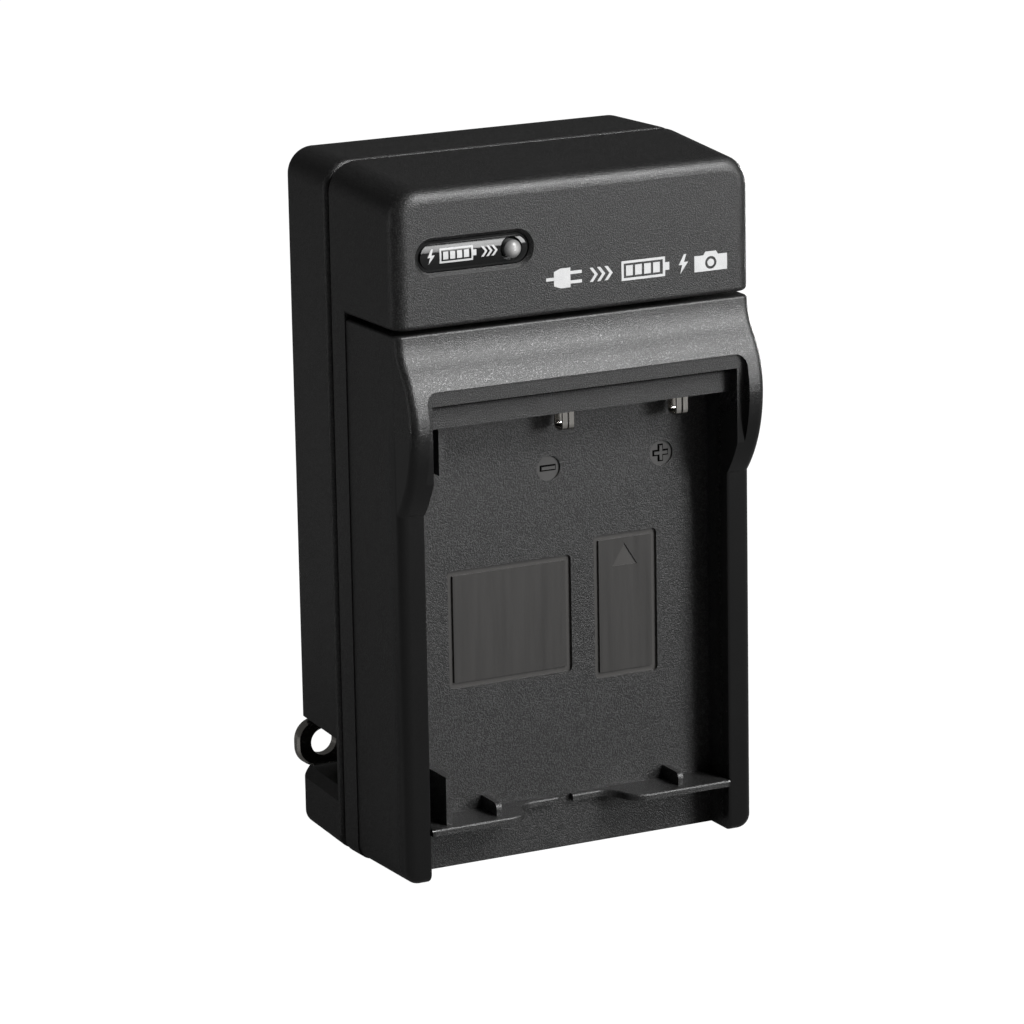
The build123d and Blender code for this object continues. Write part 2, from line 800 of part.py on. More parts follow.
def make_transformer_bobbin():
    """Square tube on the centre leg, with two flanges that stand on the board."""
    middle_y = board_back_y + core_setback
    tube_width, tube_depth = bobbin_tube()
    half_length = core_length / 2 - core_yoke - bobbin_clearance
    flange_x = core_width / 2 - core_outer_leg - bobbin_clearance
    flange_back = middle_y + tube_depth / 2 + winding_build + bobbin_wall
    bobbin = block((-tube_width / 2, tube_width / 2),
                   (middle_y - tube_depth / 2, middle_y + tube_depth / 2),
                   (core_height - half_length, core_height + half_length))
    for end in (-1, 1):
        outer = core_height + end * half_length
        bobbin += block((-flange_x, flange_x), (board_back_y, flange_back),
                        sorted((outer, outer - end * bobbin_flange)))
    bore_x = core_leg / 2 + bobbin_clearance
    bore_y = core_wall / 2 + bobbin_clearance
    return bobbin - block((-bore_x, bore_x), (middle_y - bore_y, middle_y + bore_y), (-far, far))


def make_transformer_winding():
    """Wound copper with its tape, between the bobbin's flanges."""
    middle_y = board_back_y + core_setback
    tube_width, tube_depth = bobbin_tube()
    half_length = core_length / 2 - core_yoke - bobbin_clearance - bobbin_flange
    shape = RectangleRounded(tube_width + 2 * winding_build, tube_depth + 2 * winding_build, winding_corner)
    shape -= Rectangle(tube_width, tube_depth)
    return extrude(Pos(0, middle_y, core_height - half_length) * shape, amount=2 * half_length)


def make_capacitor(x, z, radius, length):
    """Upright can with a rolled groove near its foot."""
    groove_y = board_back_y + capacitor_groove_setback
    can = rod_y(x, z, radius, board_back_y, board_back_y + length)
    ring = rod_y(x, z, radius, groove_y, groove_y + capacitor_groove)
    ring -= rod_y(x, z, radius - capacitor_groove, groove_y, groove_y + capacitor_groove)
    return can - ring


def make_axial(x, z, radius, length, turn):
    """Small barrel with a wire at each end bent down to the board."""
    axis_y = radius + axial_standoff
    reach = length / 2 + wire_reach
    barrel = Rot(0, 90, 0) * Cylinder(radius, length)
    barrel += Rot(0, 90, 0) * Cylinder(wire_radius, 2 * reach)
    for end in (-1, 1):
        barrel += Pos(end * reach, -axis_y / 2, 0) * Rot(90, 0, 0) * Cylinder(wire_radius, axis_y)
        barrel += Pos(end * reach, 0, 0) * Sphere(wire_radius)
    return (Pos(x, board_back_y + axis_y, z) * Rot(0, turn, 0) * barrel).solid()


def make_transistor():
    """Half-round plastic body standing on three legs."""
    x = transistor_x
    z = board_low + transistor_rise
    start = board_back_y + transistor_standoff
    flat = Rectangle(transistor_width, transistor_depth)
    shape = Pos(x, z) * Circle(transistor_width / 2)
    shape &= Pos(x, z + transistor_width / 2 - transistor_depth / 2) * flat
    body = slab(shape, start, start + transistor_length)
    for index in (-1, 0, 1):
        leg_x = x + index * leg_pitch
        body += block((leg_x - leg_width / 2, leg_x + leg_width / 2),
                      (board_back_y, start + transistor_length / 2),
                      (z - leg_width / 2, z + leg_width / 2))
    return body


def make_chip():
    """Flat chip with four legs along each side."""
    x = chip_x
    z = board_low + chip_rise
    width, height = chip_size
    leg_wall = leg_width / 2
    body = block((x - width / 2, x + width / 2), (board_back_y + leg_wall / 2, board_back_y + chip_wall),
                 (z - height / 2, z + height / 2))
    reach = width / 2 + chip_leg_reach
    for index in range(chip_side_legs):
        leg_z = z + (index - (chip_side_legs - 1) / 2) * leg_pitch
        span = (leg_z - leg_width / 2, leg_z + leg_width / 2)
        body += block((x - reach, x + reach), (board_back_y, board_back_y + leg_wall), span)
    return body


def make_screw(x, z, seat_y, direction, radius, head_radius, cap, length):
    """Cross-head screw whose head sits on seat_y and whose shank runs in the stated Y direction."""
    head_end = seat_y - direction * cap
    shank_end = seat_y + direction * length
    screw = rod_y(x, z, head_radius, *sorted((seat_y, head_end)))
    screw += rod_y(x, z, radius, *sorted((seat_y - direction * cap / 2, shank_end)))
    drive_end = head_end + direction * screw_drive_depth * cap / screw_head_cap
    reach = screw_drive_share * head_radius
    for wide, tall in ((reach, screw_drive_width / 2), (screw_drive_width / 2, reach)):
        screw -= block((x - wide, x + wide), sorted((head_end - direction * cap, drive_end)),
                       (z - tall, z + tall))
    return screw.solid()


def make_prong(side):
    """Folded flat blade with a rounded, pierced tip."""
    root = hub_x - blade_tail
    length = blade_tip_x - root
    shape = Pos((root + blade_tip_x) / 2, blade_height) * Rectangle(length, blade_width)
    shape = fillet(shape.vertices().group_by(Axis.X)[-1], blade_tip_corner)
    shape -= Pos(blade_tip_x - blade_hole_setback, blade_height) * Circle(blade_hole / 2)
    centre_y = pivot_y + blade_offset
    blade = slab(shape, centre_y - blade_wall / 2, centre_y + blade_wall / 2)
    tip_edges = [edge for edge in blade.edges()
                 if edge.center().X > blade_tip_x - blade_tip_corner
                 and abs(edge.center().Y - centre_y) > blade_wall / 4
                 and edge.length > blade_wall]
    blade = chamfer(tip_edges, blade_tip_edge)
    return blade if side > 0 else mirror(blade, Plane.YZ)


def make_prong_hub(side):
    """Moulded hub with a seat for the blade and a trunnion at each end."""
    x = side * hub_x
    reach = hub_half + trunnion_length
    hub = rod_z(x, pivot_y, hub_radius, blade_height - hub_half, blade_height + hub_half)
    hub += rod_z(x, pivot_y, trunnion_radius, blade_height - reach, blade_height + reach)
    return hub - block((-far, far), (pivot_y + blade_offset - blade_wall / 2, far),
                       (blade_height - blade_width / 2, blade_height + blade_width / 2))


def retainer_screw_heights():
    """Levels of the two screws through the retainer."""
    level = hub_half + trunnion_length / 2
    return (blade_height - level, blade_height + level)


def make_prong_retainer():
    """Frame inside the case whose tongues close the four trunnion saddles."""
    half_x = hub_x + trunnion_radius + retainer_border
    half_z = hub_half + trunnion_length + retainer_border
    frame = block((-half_x, half_x), (housing_y - retainer_wall, housing_y),
                  (blade_height - half_z, blade_height + half_z))
    window = plug_leaf_pad / 2 + plug_window_clearance
    frame -= block((-half_x + retainer_border / 2, half_x - retainer_border / 2), (-far, far),
                   (blade_height - window, blade_height + window))
    for side in (-1, 1):
        x = side * hub_x
        half_tongue = trunnion_radius - trunnion_clearance
        for end in (-1, 1):
            near, away = sorted((blade_height + end * (hub_half + pocket_clearance),
                                 blade_height + end * (hub_half + trunnion_length)))
            frame += block((x - half_tongue, x + half_tongue), (housing_y - retainer_wall / 2, pivot_y),
                           (near, away))
            seat = trunnion_radius + trunnion_clearance
            frame -= rod_z(x, pivot_y, seat, near - case_wall, away + case_wall)
    for z in retainer_screw_heights():
        pilot = retainer_screw_radius + screw_pilot_clearance
        frame -= rod_y(0, z, pilot, housing_y - 2 * retainer_wall, housing_y + retainer_wall)
    return frame


def make_plug_contact(side):
    """Brass leaf from the board down to the root of one blade."""
    pad_y = pivot_y - blade_tail - plug_leaf_gap - plug_leaf_wall / 2
    foot_y = board_back_y + plug_leaf_wall / 2
    down_y = housing_y - retainer_wall - plug_leaf_wall / 2 - plug_window_clearance
    low = blade_height - plug_leaf_pad / 2 + plug_leaf_wall / 2
    bend_z = board_low + plug_leaf_wall
    points = [
        (foot_y, bend_z + plug_leaf_foot),
        (foot_y, bend_z),
        (down_y, bend_z),
        (down_y, low),
        (pad_y, low),
        (pad_y, blade_height + plug_leaf_pad / 2),
    ]
    return bent_strip(points, plug_leaf_bend, plug_leaf_wall, side * blade_spacing / 2, plug_leaf_width)


def group(solids):
    """Several like solids in one node."""
    return Compound(children=list(solids))


capacitor_height = board_low + capacitor_rise
diode_height = board_low + diode_rise
case_screw_seat = back_y - screw_sink
retainer_seat = housing_y - retainer_wall
nodes = {
    "rear_shell": make_rear_shell(),
    "front_shell": make_front_shell(),
    "cradle_plate": make_cradle_plate(),
    "charge_window": make_charge_window(),
    "status_led": make_status_led(),
    "status_led_leads": make_status_led_leads(),
    "circuit_board": make_board(),
    "transformer_core": make_transformer_core(),
    "transformer_bobbin": make_transformer_bobbin(),
    "transformer_winding": make_transformer_winding(),
    "bulk_capacitor": make_capacitor(-capacitor_x, capacitor_height, bulk_capacitor_radius,
                                     bulk_capacitor_length),
    "output_capacitor": make_capacitor(capacitor_x, capacitor_height, output_capacitor_radius,
                                       output_capacitor_length),
    "rectifier_diodes": group(make_axial(x, diode_height, diode_radius, diode_length, 90) for x in diode_xs),
    "fuse_resistor": make_axial(0, board_low + fuse_rise, fuse_radius, fuse_length, 0),
    "switching_transistor": make_transistor(),
    "controller_chip": make_chip(),
    "prong_retainer": make_prong_retainer(),
    "case_screws": group(make_screw(x, z, case_screw_seat, -1, screw_radius, screw_head_radius,
                                    screw_head_cap, screw_length) for x, z in post_places),
    "board_screws": group(make_screw(x, z, board_back_y, -1, board_screw_radius, board_screw_head,
                                     board_screw_cap, board_screw_length) for x, z in board_screw_places),
    "retainer_screws": group(make_screw(0, z, retainer_seat, 1, retainer_screw_radius, retainer_screw_head,
                                        retainer_screw_cap, retainer_screw_length)
                             for z in retainer_screw_heights()),
}
for name, x in contact_places.items():
    nodes[name] = make_contact(x)
for name, side in (("left", -1), ("right", 1)):
    nodes["prong_" + name] = make_prong(side)
    nodes["prong_hub_" + name] = make_prong_hub(side)
    nodes["plug_contact_" + name] = make_plug_contact(side)

os.makedirs("parts", exist_ok=True)
for name, shape in nodes.items():
    export_step(shape, "parts/" + name + ".step")
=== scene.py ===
# %% [markdown]
# This lesson dresses a plug-in camera battery charger. Its solids come packed from the CAD model and are
# never moved here: Blender gives them their finish, adds the white print on the front, and sets up light
# and camera. Everything is in metres, with +Z up and the battery cradle facing -Y.

# %% Load the charger
import bpy
import bmesh
import math
from mathutils import Matrix, Vector


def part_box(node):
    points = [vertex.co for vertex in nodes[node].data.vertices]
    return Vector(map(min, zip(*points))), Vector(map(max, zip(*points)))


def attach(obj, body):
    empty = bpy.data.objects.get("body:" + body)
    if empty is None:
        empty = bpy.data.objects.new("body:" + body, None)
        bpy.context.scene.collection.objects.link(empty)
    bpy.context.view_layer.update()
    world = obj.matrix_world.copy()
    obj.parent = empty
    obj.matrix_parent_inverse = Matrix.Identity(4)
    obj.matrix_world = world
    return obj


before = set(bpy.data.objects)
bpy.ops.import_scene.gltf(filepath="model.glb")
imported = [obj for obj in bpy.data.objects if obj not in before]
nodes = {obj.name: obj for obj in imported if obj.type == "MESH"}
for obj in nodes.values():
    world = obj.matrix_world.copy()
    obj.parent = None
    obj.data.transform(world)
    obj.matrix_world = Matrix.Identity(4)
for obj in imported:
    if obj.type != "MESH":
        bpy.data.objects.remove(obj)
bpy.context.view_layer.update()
MM = 0.001

# %% [markdown]
# The camera comes first, because every later choice is judged through it. A product picture like this is
# taken with a long lens from a little above, which keeps the upright edges almost parallel. The direction
# is given as an azimuth from the front, an elevation and a slight roll, and the frame is shifted a little
# so that the charger sits left of the middle.

# %% Camera
camera_azimuth = math.radians(-27.036)
camera_elevation = math.radians(13.893)
camera_roll = math.radians(-0.98)
camera_distance = 0.6456
camera_target = Vector((0.0, -0.001625, 0.04397))
camera_lens = 177.44
camera_shift = (-0.0217, -0.0069)


def direction(azimuth, elevation):
    """Unit vector from the charger towards a place in the studio."""
    flat = math.cos(elevation)
    return Vector((math.sin(azimuth) * flat, -math.cos(azimuth) * flat, math.sin(elevation)))


def add_camera():
    """Long-lens camera at the stated direction, rolled about its own axis."""
    back = direction(camera_azimuth, camera_elevation)
    right = Vector((0, 0, 1)).cross(back).normalized()
    up = back.cross(right)
    right, up = (right * math.cos(camera_roll) + up * math.sin(camera_roll),
                 up * math.cos(camera_roll) - right * math.sin(camera_roll))
    data = bpy.data.cameras.new("studio_camera")
    data.lens = camera_lens
    data.sensor_width = 36.0
    data.shift_x, data.shift_y = camera_shift
    data.clip_start = 0.01
    camera = bpy.data.objects.new("studio_camera", data)
    turn = Matrix((right, up, back)).transposed().to_4x4()
    camera.matrix_world = Matrix.Translation(camera_target + back * camera_distance) @ turn
    bpy.context.scene.collection.objects.link(camera)
    bpy.context.scene.camera = camera
    return camera


camera = add_camera()
print("camera at", [round(value, 4) for value in camera.matrix_world.translation])

# %% [markdown]
# Black plastic shows almost nothing but what it reflects, so the light is a few soft panels placed where
# the faces mirror them. The key panel stands high in front and to the right: the upper half of the arch
# mirrors it towards the camera, and the right wall of the bay throws its shadow to the left. A low front
# panel greys the upright faces, a narrow, dim strip behind the left flank lifts its rounded edges a little,
# and a weak panel behind on the right lights the back, which the camera doesn't see but
# other views do. The world is white to the camera alone, so that a low view has no dark band above the
# floor's far edge.

# %% Light
scene = bpy.context.scene
scene.view_settings.view_transform = "Standard"
light_target = Vector((0.0, 0.0, 0.045))
world_grey = 0.05


def add_panel(name, azimuth, elevation, distance, size, power):
    """Soft rectangular panel that faces the charger."""
    data = bpy.data.lights.new(name, "AREA")
    data.shape = "RECTANGLE"
    data.size, data.size_y = size
    data.energy = power
    panel = bpy.data.objects.new(name, data)
    away = direction(math.radians(azimuth), math.radians(elevation))
    turn = away.to_track_quat("Z", "Y").to_matrix().to_4x4()
    panel.matrix_world = Matrix.Translation(light_target + away * distance) @ turn
    scene.collection.objects.link(panel)
    return panel


panels = [
    add_panel("key_panel", 32, 40, 0.9, (0.32, 0.32), 10.5),
    add_panel("front_panel", 32, 11, 0.9, (0.26, 0.26), 3.6),
    add_panel("back_panel", 128, 0, 0.9, (0.3, 0.08), 2.5),
    add_panel("flank_strip", -113, 2, 0.8, (0.06, 0.12), 0.4),
]


def add_world():
    """White to the camera, a dim grey to everything else."""
    world = bpy.data.worlds.new("studio")
    world.use_nodes = True
    tree = world.node_tree
    path = tree.nodes.new("ShaderNodeLightPath")
    shade = tree.nodes.new("ShaderNodeMapRange")
    shade.inputs["To Min"].default_value = world_grey
    shade.inputs["To Max"].default_value = 1.0
    tree.links.new(path.outputs["Is Camera Ray"], shade.inputs["Value"])
    tree.links.new(shade.outputs[0], tree.nodes["Background"].inputs["Color"])
    scene.world = world


add_world()
print("lit by", [panel.name for panel in panels])

# %% [markdown]
# Materials are node trees, and most of what follows is wiring. A few small helpers keep that short: one
# adds a node with its settings and socket values, others do the arithmetic on sockets. Each material starts
# from a Principled BSDF, and a value that is the same all over is set on the shader itself.

# %% Node helpers


def add_node(tree, kind, settings=None, values=None):
    """New node with attributes set from settings and socket values set by socket name or number."""
    node = tree.nodes.new(kind)
    for name, value in (settings or {}).items():
        setattr(node, name, value)
    for name, value in (values or {}).items():
        node.inputs[name].default_value = value
    return node


def math_node(tree, operation, first, second):
    """Math node whose two operands are sockets or numbers."""
    node = add_node(tree, "ShaderNodeMath", {"operation": operation})
    for index, operand in enumerate((first, second)):
        if isinstance(operand, (int, float)):
            node.inputs[index].default_value = operand
        else:
            tree.links.new(operand, node.inputs[index])
    return node.outputs[0]


def ramp(tree, value, low, high, start=0.0, end=1.0):
    """Maps a value that runs from start to end onto low to high, and clamps it."""
    node = add_node(tree, "ShaderNodeMapRange", {"clamp": True}, {1: start, 2: end, 3: low, 4: high})
    tree.links.new(value, node.inputs[0])
    return node.outputs[0]


def new_material(name, **sockets):
    """Material with a Principled BSDF, its tree and its shader, with constant values set on the shader."""
    material = bpy.data.materials.new(name)
    material.use_nodes = True
    shader = material.node_tree.nodes["Principled BSDF"]
    for socket, value in sockets.items():
        shader.inputs[socket.replace("_", " ")].default_value = value
    return material, material.node_tree, shader


def object_place(tree):
    """Object coordinates, which are the charger's own metres because every piece sits at the origin."""
    return add_node(tree, "ShaderNodeTexCoord").outputs["Object"]


def axes_of(tree, place):
    """The three coordinates of a place as separate sockets."""
    node = add_node(tree, "ShaderNodeSeparateXYZ")
    tree.links.new(place, node.inputs[0])
    return node.outputs[0], node.outputs[1], node.outputs[2]


def mix_colour(tree, share, first, second):
    """Blend of two colours, each a socket or a tuple."""
    node = add_node(tree, "ShaderNodeMix", {"data_type": "RGBA"})
    tree.links.new(share, node.inputs["Factor"])
    for socket, colour in ((node.inputs[6], first), (node.inputs[7], second)):
        if isinstance(colour, tuple):
            socket.default_value = colour
        else:
            tree.links.new(colour, socket)
    return node.outputs[2]


def grey(value, warm=0.0):
    """Grey with a slight warm or cool cast."""
    return (value * (1 + warm), value, value * (1 - warm), 1.0)


print("helpers ready")

# %% [markdown]
# Four surface effects come back in several finishes, so each is a node group that is built once. The
# charger's plastic is moulded against a spark-eroded tool, which leaves a fine pebble grain: a noise,
# sharpened so that the pebbles have flat tops and narrow valleys, gives its height. Handling leaves a slow,
# uneven sheen. Rolled and ground metal has fine lines one way, which is a noise stretched along that way. A
# few light specks of dust stick to black plastic.

# %% Surface groups


def make_group(name, inputs, outputs):
    """Empty shader node group with named float, vector or colour sockets."""
    group = bpy.data.node_groups.new(name, "ShaderNodeTree")
    for kind, sockets in (("INPUT", inputs), ("OUTPUT", outputs)):
        for socket, socket_type in sockets:
            group.interface.new_socket(socket, in_out=kind, socket_type="NodeSocket" + socket_type)
    return group, group.nodes.new("NodeGroupInput"), group.nodes.new("NodeGroupOutput")


def make_grain_group():
    """Pebble grain: a height for bump and a speckle value."""
    group, entry, leave = make_group("moulded_grain", [("Place", "Vector"), ("Cells per metre", "Float")],
                                     [("Height", "Float"), ("Speckle", "Float")])
    noise = add_node(group, "ShaderNodeTexNoise", None, {"Detail": 2.0, "Roughness": 0.55})
    group.links.new(entry.outputs["Place"], noise.inputs["Vector"])
    group.links.new(entry.outputs["Cells per metre"], noise.inputs["Scale"])
    pebbles = ramp(group, noise.outputs["Fac"], 0.0, 1.0, 0.36, 0.64)
    group.links.new(pebbles, leave.inputs["Height"])
    group.links.new(noise.outputs["Fac"], leave.inputs["Speckle"])
    return group


def make_haze_group():
    """Slow uneven sheen of handled plastic and metal: a value around one half."""
    group, entry, leave = make_group("handled_sheen", [("Place", "Vector"), ("Patch size", "Float")],
                                     [("Haze", "Float")])
    patches = add_node(group, "ShaderNodeTexNoise", None,
                       {"Detail": 3.0, "Roughness": 0.6, "Distortion": 0.4})
    scale = math_node(group, "DIVIDE", 1.0, entry.outputs["Patch size"])
    group.links.new(entry.outputs["Place"], patches.inputs["Vector"])
    group.links.new(scale, patches.inputs["Scale"])
    group.links.new(patches.outputs["Fac"], leave.inputs["Haze"])
    return group


def make_lines_group():
    """Fine lines of rolled or ground stock: a noise with its own number of cells per metre on each axis."""
    group, entry, leave = make_group("rolled_lines", [("Place", "Vector"), ("Cells per metre", "Vector")],
                                     [("Lines", "Float")])
    stretch = add_node(group, "ShaderNodeVectorMath", {"operation": "MULTIPLY"})
    group.links.new(entry.outputs["Place"], stretch.inputs[0])
    group.links.new(entry.outputs["Cells per metre"], stretch.inputs[1])
    noise = add_node(group, "ShaderNodeTexNoise", None, {"Scale": 1.0, "Detail": 3.0, "Roughness": 0.6})
    group.links.new(stretch.outputs[0], noise.inputs["Vector"])
    group.links.new(noise.outputs["Fac"], leave.inputs["Lines"])
    return group


def make_dust_group():
    """Sparse dust specks: a mask that is one on a speck."""
    group, entry, leave = make_group("dust_specks", [("Place", "Vector"), ("Spacing", "Float")],
                                     [("Specks", "Float")])
    cells = add_node(group, "ShaderNodeTexVoronoi")
    scale = math_node(group, "DIVIDE", 1.0, entry.outputs["Spacing"])
    group.links.new(entry.outputs["Place"], cells.inputs["Vector"])
    group.links.new(scale, cells.inputs["Scale"])
    near = ramp(group, cells.outputs["Distance"], 1.0, 0.0, 0.02, 0.035)
    chosen = axes_of(group, cells.outputs["Color"])[0]
    chosen = math_node(group, "GREATER_THAN", chosen, 0.7)
    group.links.new(math_node(group, "MULTIPLY", near, chosen), leave.inputs["Specks"])
    return group


def use_group(tree, group, place, value):
    """Group node fed with a place and its one size."""
    node = add_node(tree, "ShaderNodeGroup", {"node_tree": group})
    tree.links.new(place, node.inputs[0])
    node.inputs[1].default_value = value
    return node.outputs


grain_group = make_grain_group()
haze_group = make_haze_group()
lines_group = make_lines_group()
dust_group = make_dust_group()
print("groups", [group.name for group in (grain_group, haze_group, lines_group, dust_group)])

# %% [markdown]
# Both halves of the case are the same black plastic. The diffuse colour is close to black, and most of what
# the eye takes for its grey is a broad reflection, so the roughness and the grain matter more than the
# colour. The tips of the pebbles are rubbed paler than the valleys, which gives the plastic its salt-and-
# pepper look. The bump is kept small and fine, because a deep bump would turn the pebbles into gravel. The
# groove between the two halves is a narrow slot in which light is lost, so a mask along Y paints its bottom
# as shade: a black that reflects nothing.

# %% Case plastic
grain_cells = 6500.0
grain_depth = 0.00002
plastic_black = 0.009
plastic_gloss = 0.6
plastic_rough = 0.38
tip_gain = 4.5
dust_spacing = 0.009
split_groove = (3.56 * MM, 4.59 * MM)


def lay_grain(tree, shader, height, depth, strength):
    """Bump from a height socket onto the shader's normal."""
    bump = add_node(tree, "ShaderNodeBump", None, {"Strength": strength, "Distance": depth})
    tree.links.new(height, bump.inputs["Height"])
    tree.links.new(bump.outputs["Normal"], shader.inputs["Normal"])


def plastic_colour(tree, place, haze, grain, black):
    """Black with a slow drift in tone, paler grain tips and a few specks of dust."""
    body = mix_colour(tree, haze, grey(black * 0.4, -0.01), grey(black * 0.7, 0.02))
    tips = ramp(tree, grain["Speckle"], 0.0, 1.0, 0.47, 0.66)
    body = mix_colour(tree, tips, body, grey(black * tip_gain))
    specks = use_group(tree, dust_group, place, dust_spacing)["Specks"]
    return mix_colour(tree, specks, body, grey(0.16))


def between(tree, value, low, high):
    """One where a value lies between two limits."""
    return math_node(tree, "MULTIPLY", math_node(tree, "GREATER_THAN", value, low),
                     math_node(tree, "LESS_THAN", value, high))


def make_case_black(name, black, rough, gloss, cells, depth, groove=None):
    """Black moulded plastic with pebble grain, and painted black shade in a groove between two limits along Y
    if given.
    """
    material, tree, shader = new_material(name, Specular_IOR_Level=gloss)
    place = object_place(tree)
    grain = use_group(tree, grain_group, place, cells)
    haze = use_group(tree, haze_group, place, 0.014)["Haze"]
    roughness = math_node(tree, "ADD", ramp(tree, haze, rough - 0.03, rough + 0.03, 0.3, 0.7),
                          ramp(tree, grain["Speckle"], 0.06, -0.06, 0.3, 0.7))
    tree.links.new(roughness, shader.inputs["Roughness"])
    colour = plastic_colour(tree, place, haze, grain, black)
    if groove:
        # Painted shade: the groove's bottom is made black and metallic, so it reflects nothing.
        groove_shade = between(tree, axes_of(tree, place)[1], *groove)
        colour = mix_colour(tree, groove_shade, colour, grey(0.0008))
        tree.links.new(groove_shade, shader.inputs["Metallic"])
    tree.links.new(colour, shader.inputs["Base Color"])
    lay_grain(tree, shader, grain["Height"], depth, 1.0)
    return material


def dress(material, *names):
    """Gives CAD pieces their one material."""
    for name in names:
        mesh = nodes[name].data
        mesh.materials.clear()
        mesh.materials.append(material)
    return material.name, names


case_black = make_case_black("case_black", plastic_black, plastic_rough, plastic_gloss, grain_cells,
                             grain_depth, split_groove)
print(dress(case_black, "front_shell", "rear_shell"))

# %% [markdown]
# The cradle is moulded in the same plastic, but its two sunken fields and the polarity discs were polished
# in the tool and have a smoother, slightly warmer satin face with faint upright draw lines. They lie deeper
# than the bay floor, so a mask made of Object coordinates finds them: no part of the mesh has to be cut out
# for it. Painted shade lines the corner round the raised polarity signs, drawn as a dark line of a fifth of
# a millimetre round each bar. Batteries and fingers rub the rims of the two side walls, so there the grain
# fades out and the plastic turns smoother, and the colour there is darkened as painted shade. Painted shade
# also lines the crease where the shelf meets the ledge above it.

# %% Cradle plastic
satin_depth = -8.49 * MM
sunk_depth = -8.4 * MM
disc_level = 50.4 * MM
disc_reach = 2.0 * MM
minus_axis, plus_axis = -1.4 * MM, 14.8 * MM
sign_half = (0.95 * MM, 0.2 * MM)
sign_shade_reach = 0.2 * MM
satin_half = 20.0 * MM
satin_rough = 0.42
rim_inside = (20.9 * MM, 21.6 * MM)
rim_front = (-10.5 * MM, -12.5 * MM)
rim_top = (63.0 * MM, 55.0 * MM)
rim_rough = 0.15
shelf_front = (-14.9 * MM, -14.6 * MM)
shelf_crease = (61.2 * MM, 61.65 * MM)
ledge_low = 62.3 * MM
bay_half = 21.45 * MM


def bar_reach(tree, x, z, middle, half_x, half_z):
    """How far a point lies outside an upright or level bar, seen from the front."""
    beside = math_node(tree, "ABSOLUTE", math_node(tree, "SUBTRACT", x, middle), 0.0)
    above = math_node(tree, "ABSOLUTE", math_node(tree, "SUBTRACT", z, disc_level), 0.0)
    return math_node(tree, "MAXIMUM", math_node(tree, "SUBTRACT", beside, half_x),
                     math_node(tree, "SUBTRACT", above, half_z))


def sign_shade_line(tree, x, z):
    """Painted shade: a dark line round the raised polarity signs."""
    long, short = sign_half
    reach = bar_reach(tree, x, z, minus_axis, long, short)
    for half_x, half_z in ((long, short), (short, long)):
        reach = math_node(tree, "MINIMUM", reach, bar_reach(tree, x, z, plus_axis, half_x, half_z))
    return math_node(tree, "LESS_THAN", reach, sign_shade_reach)


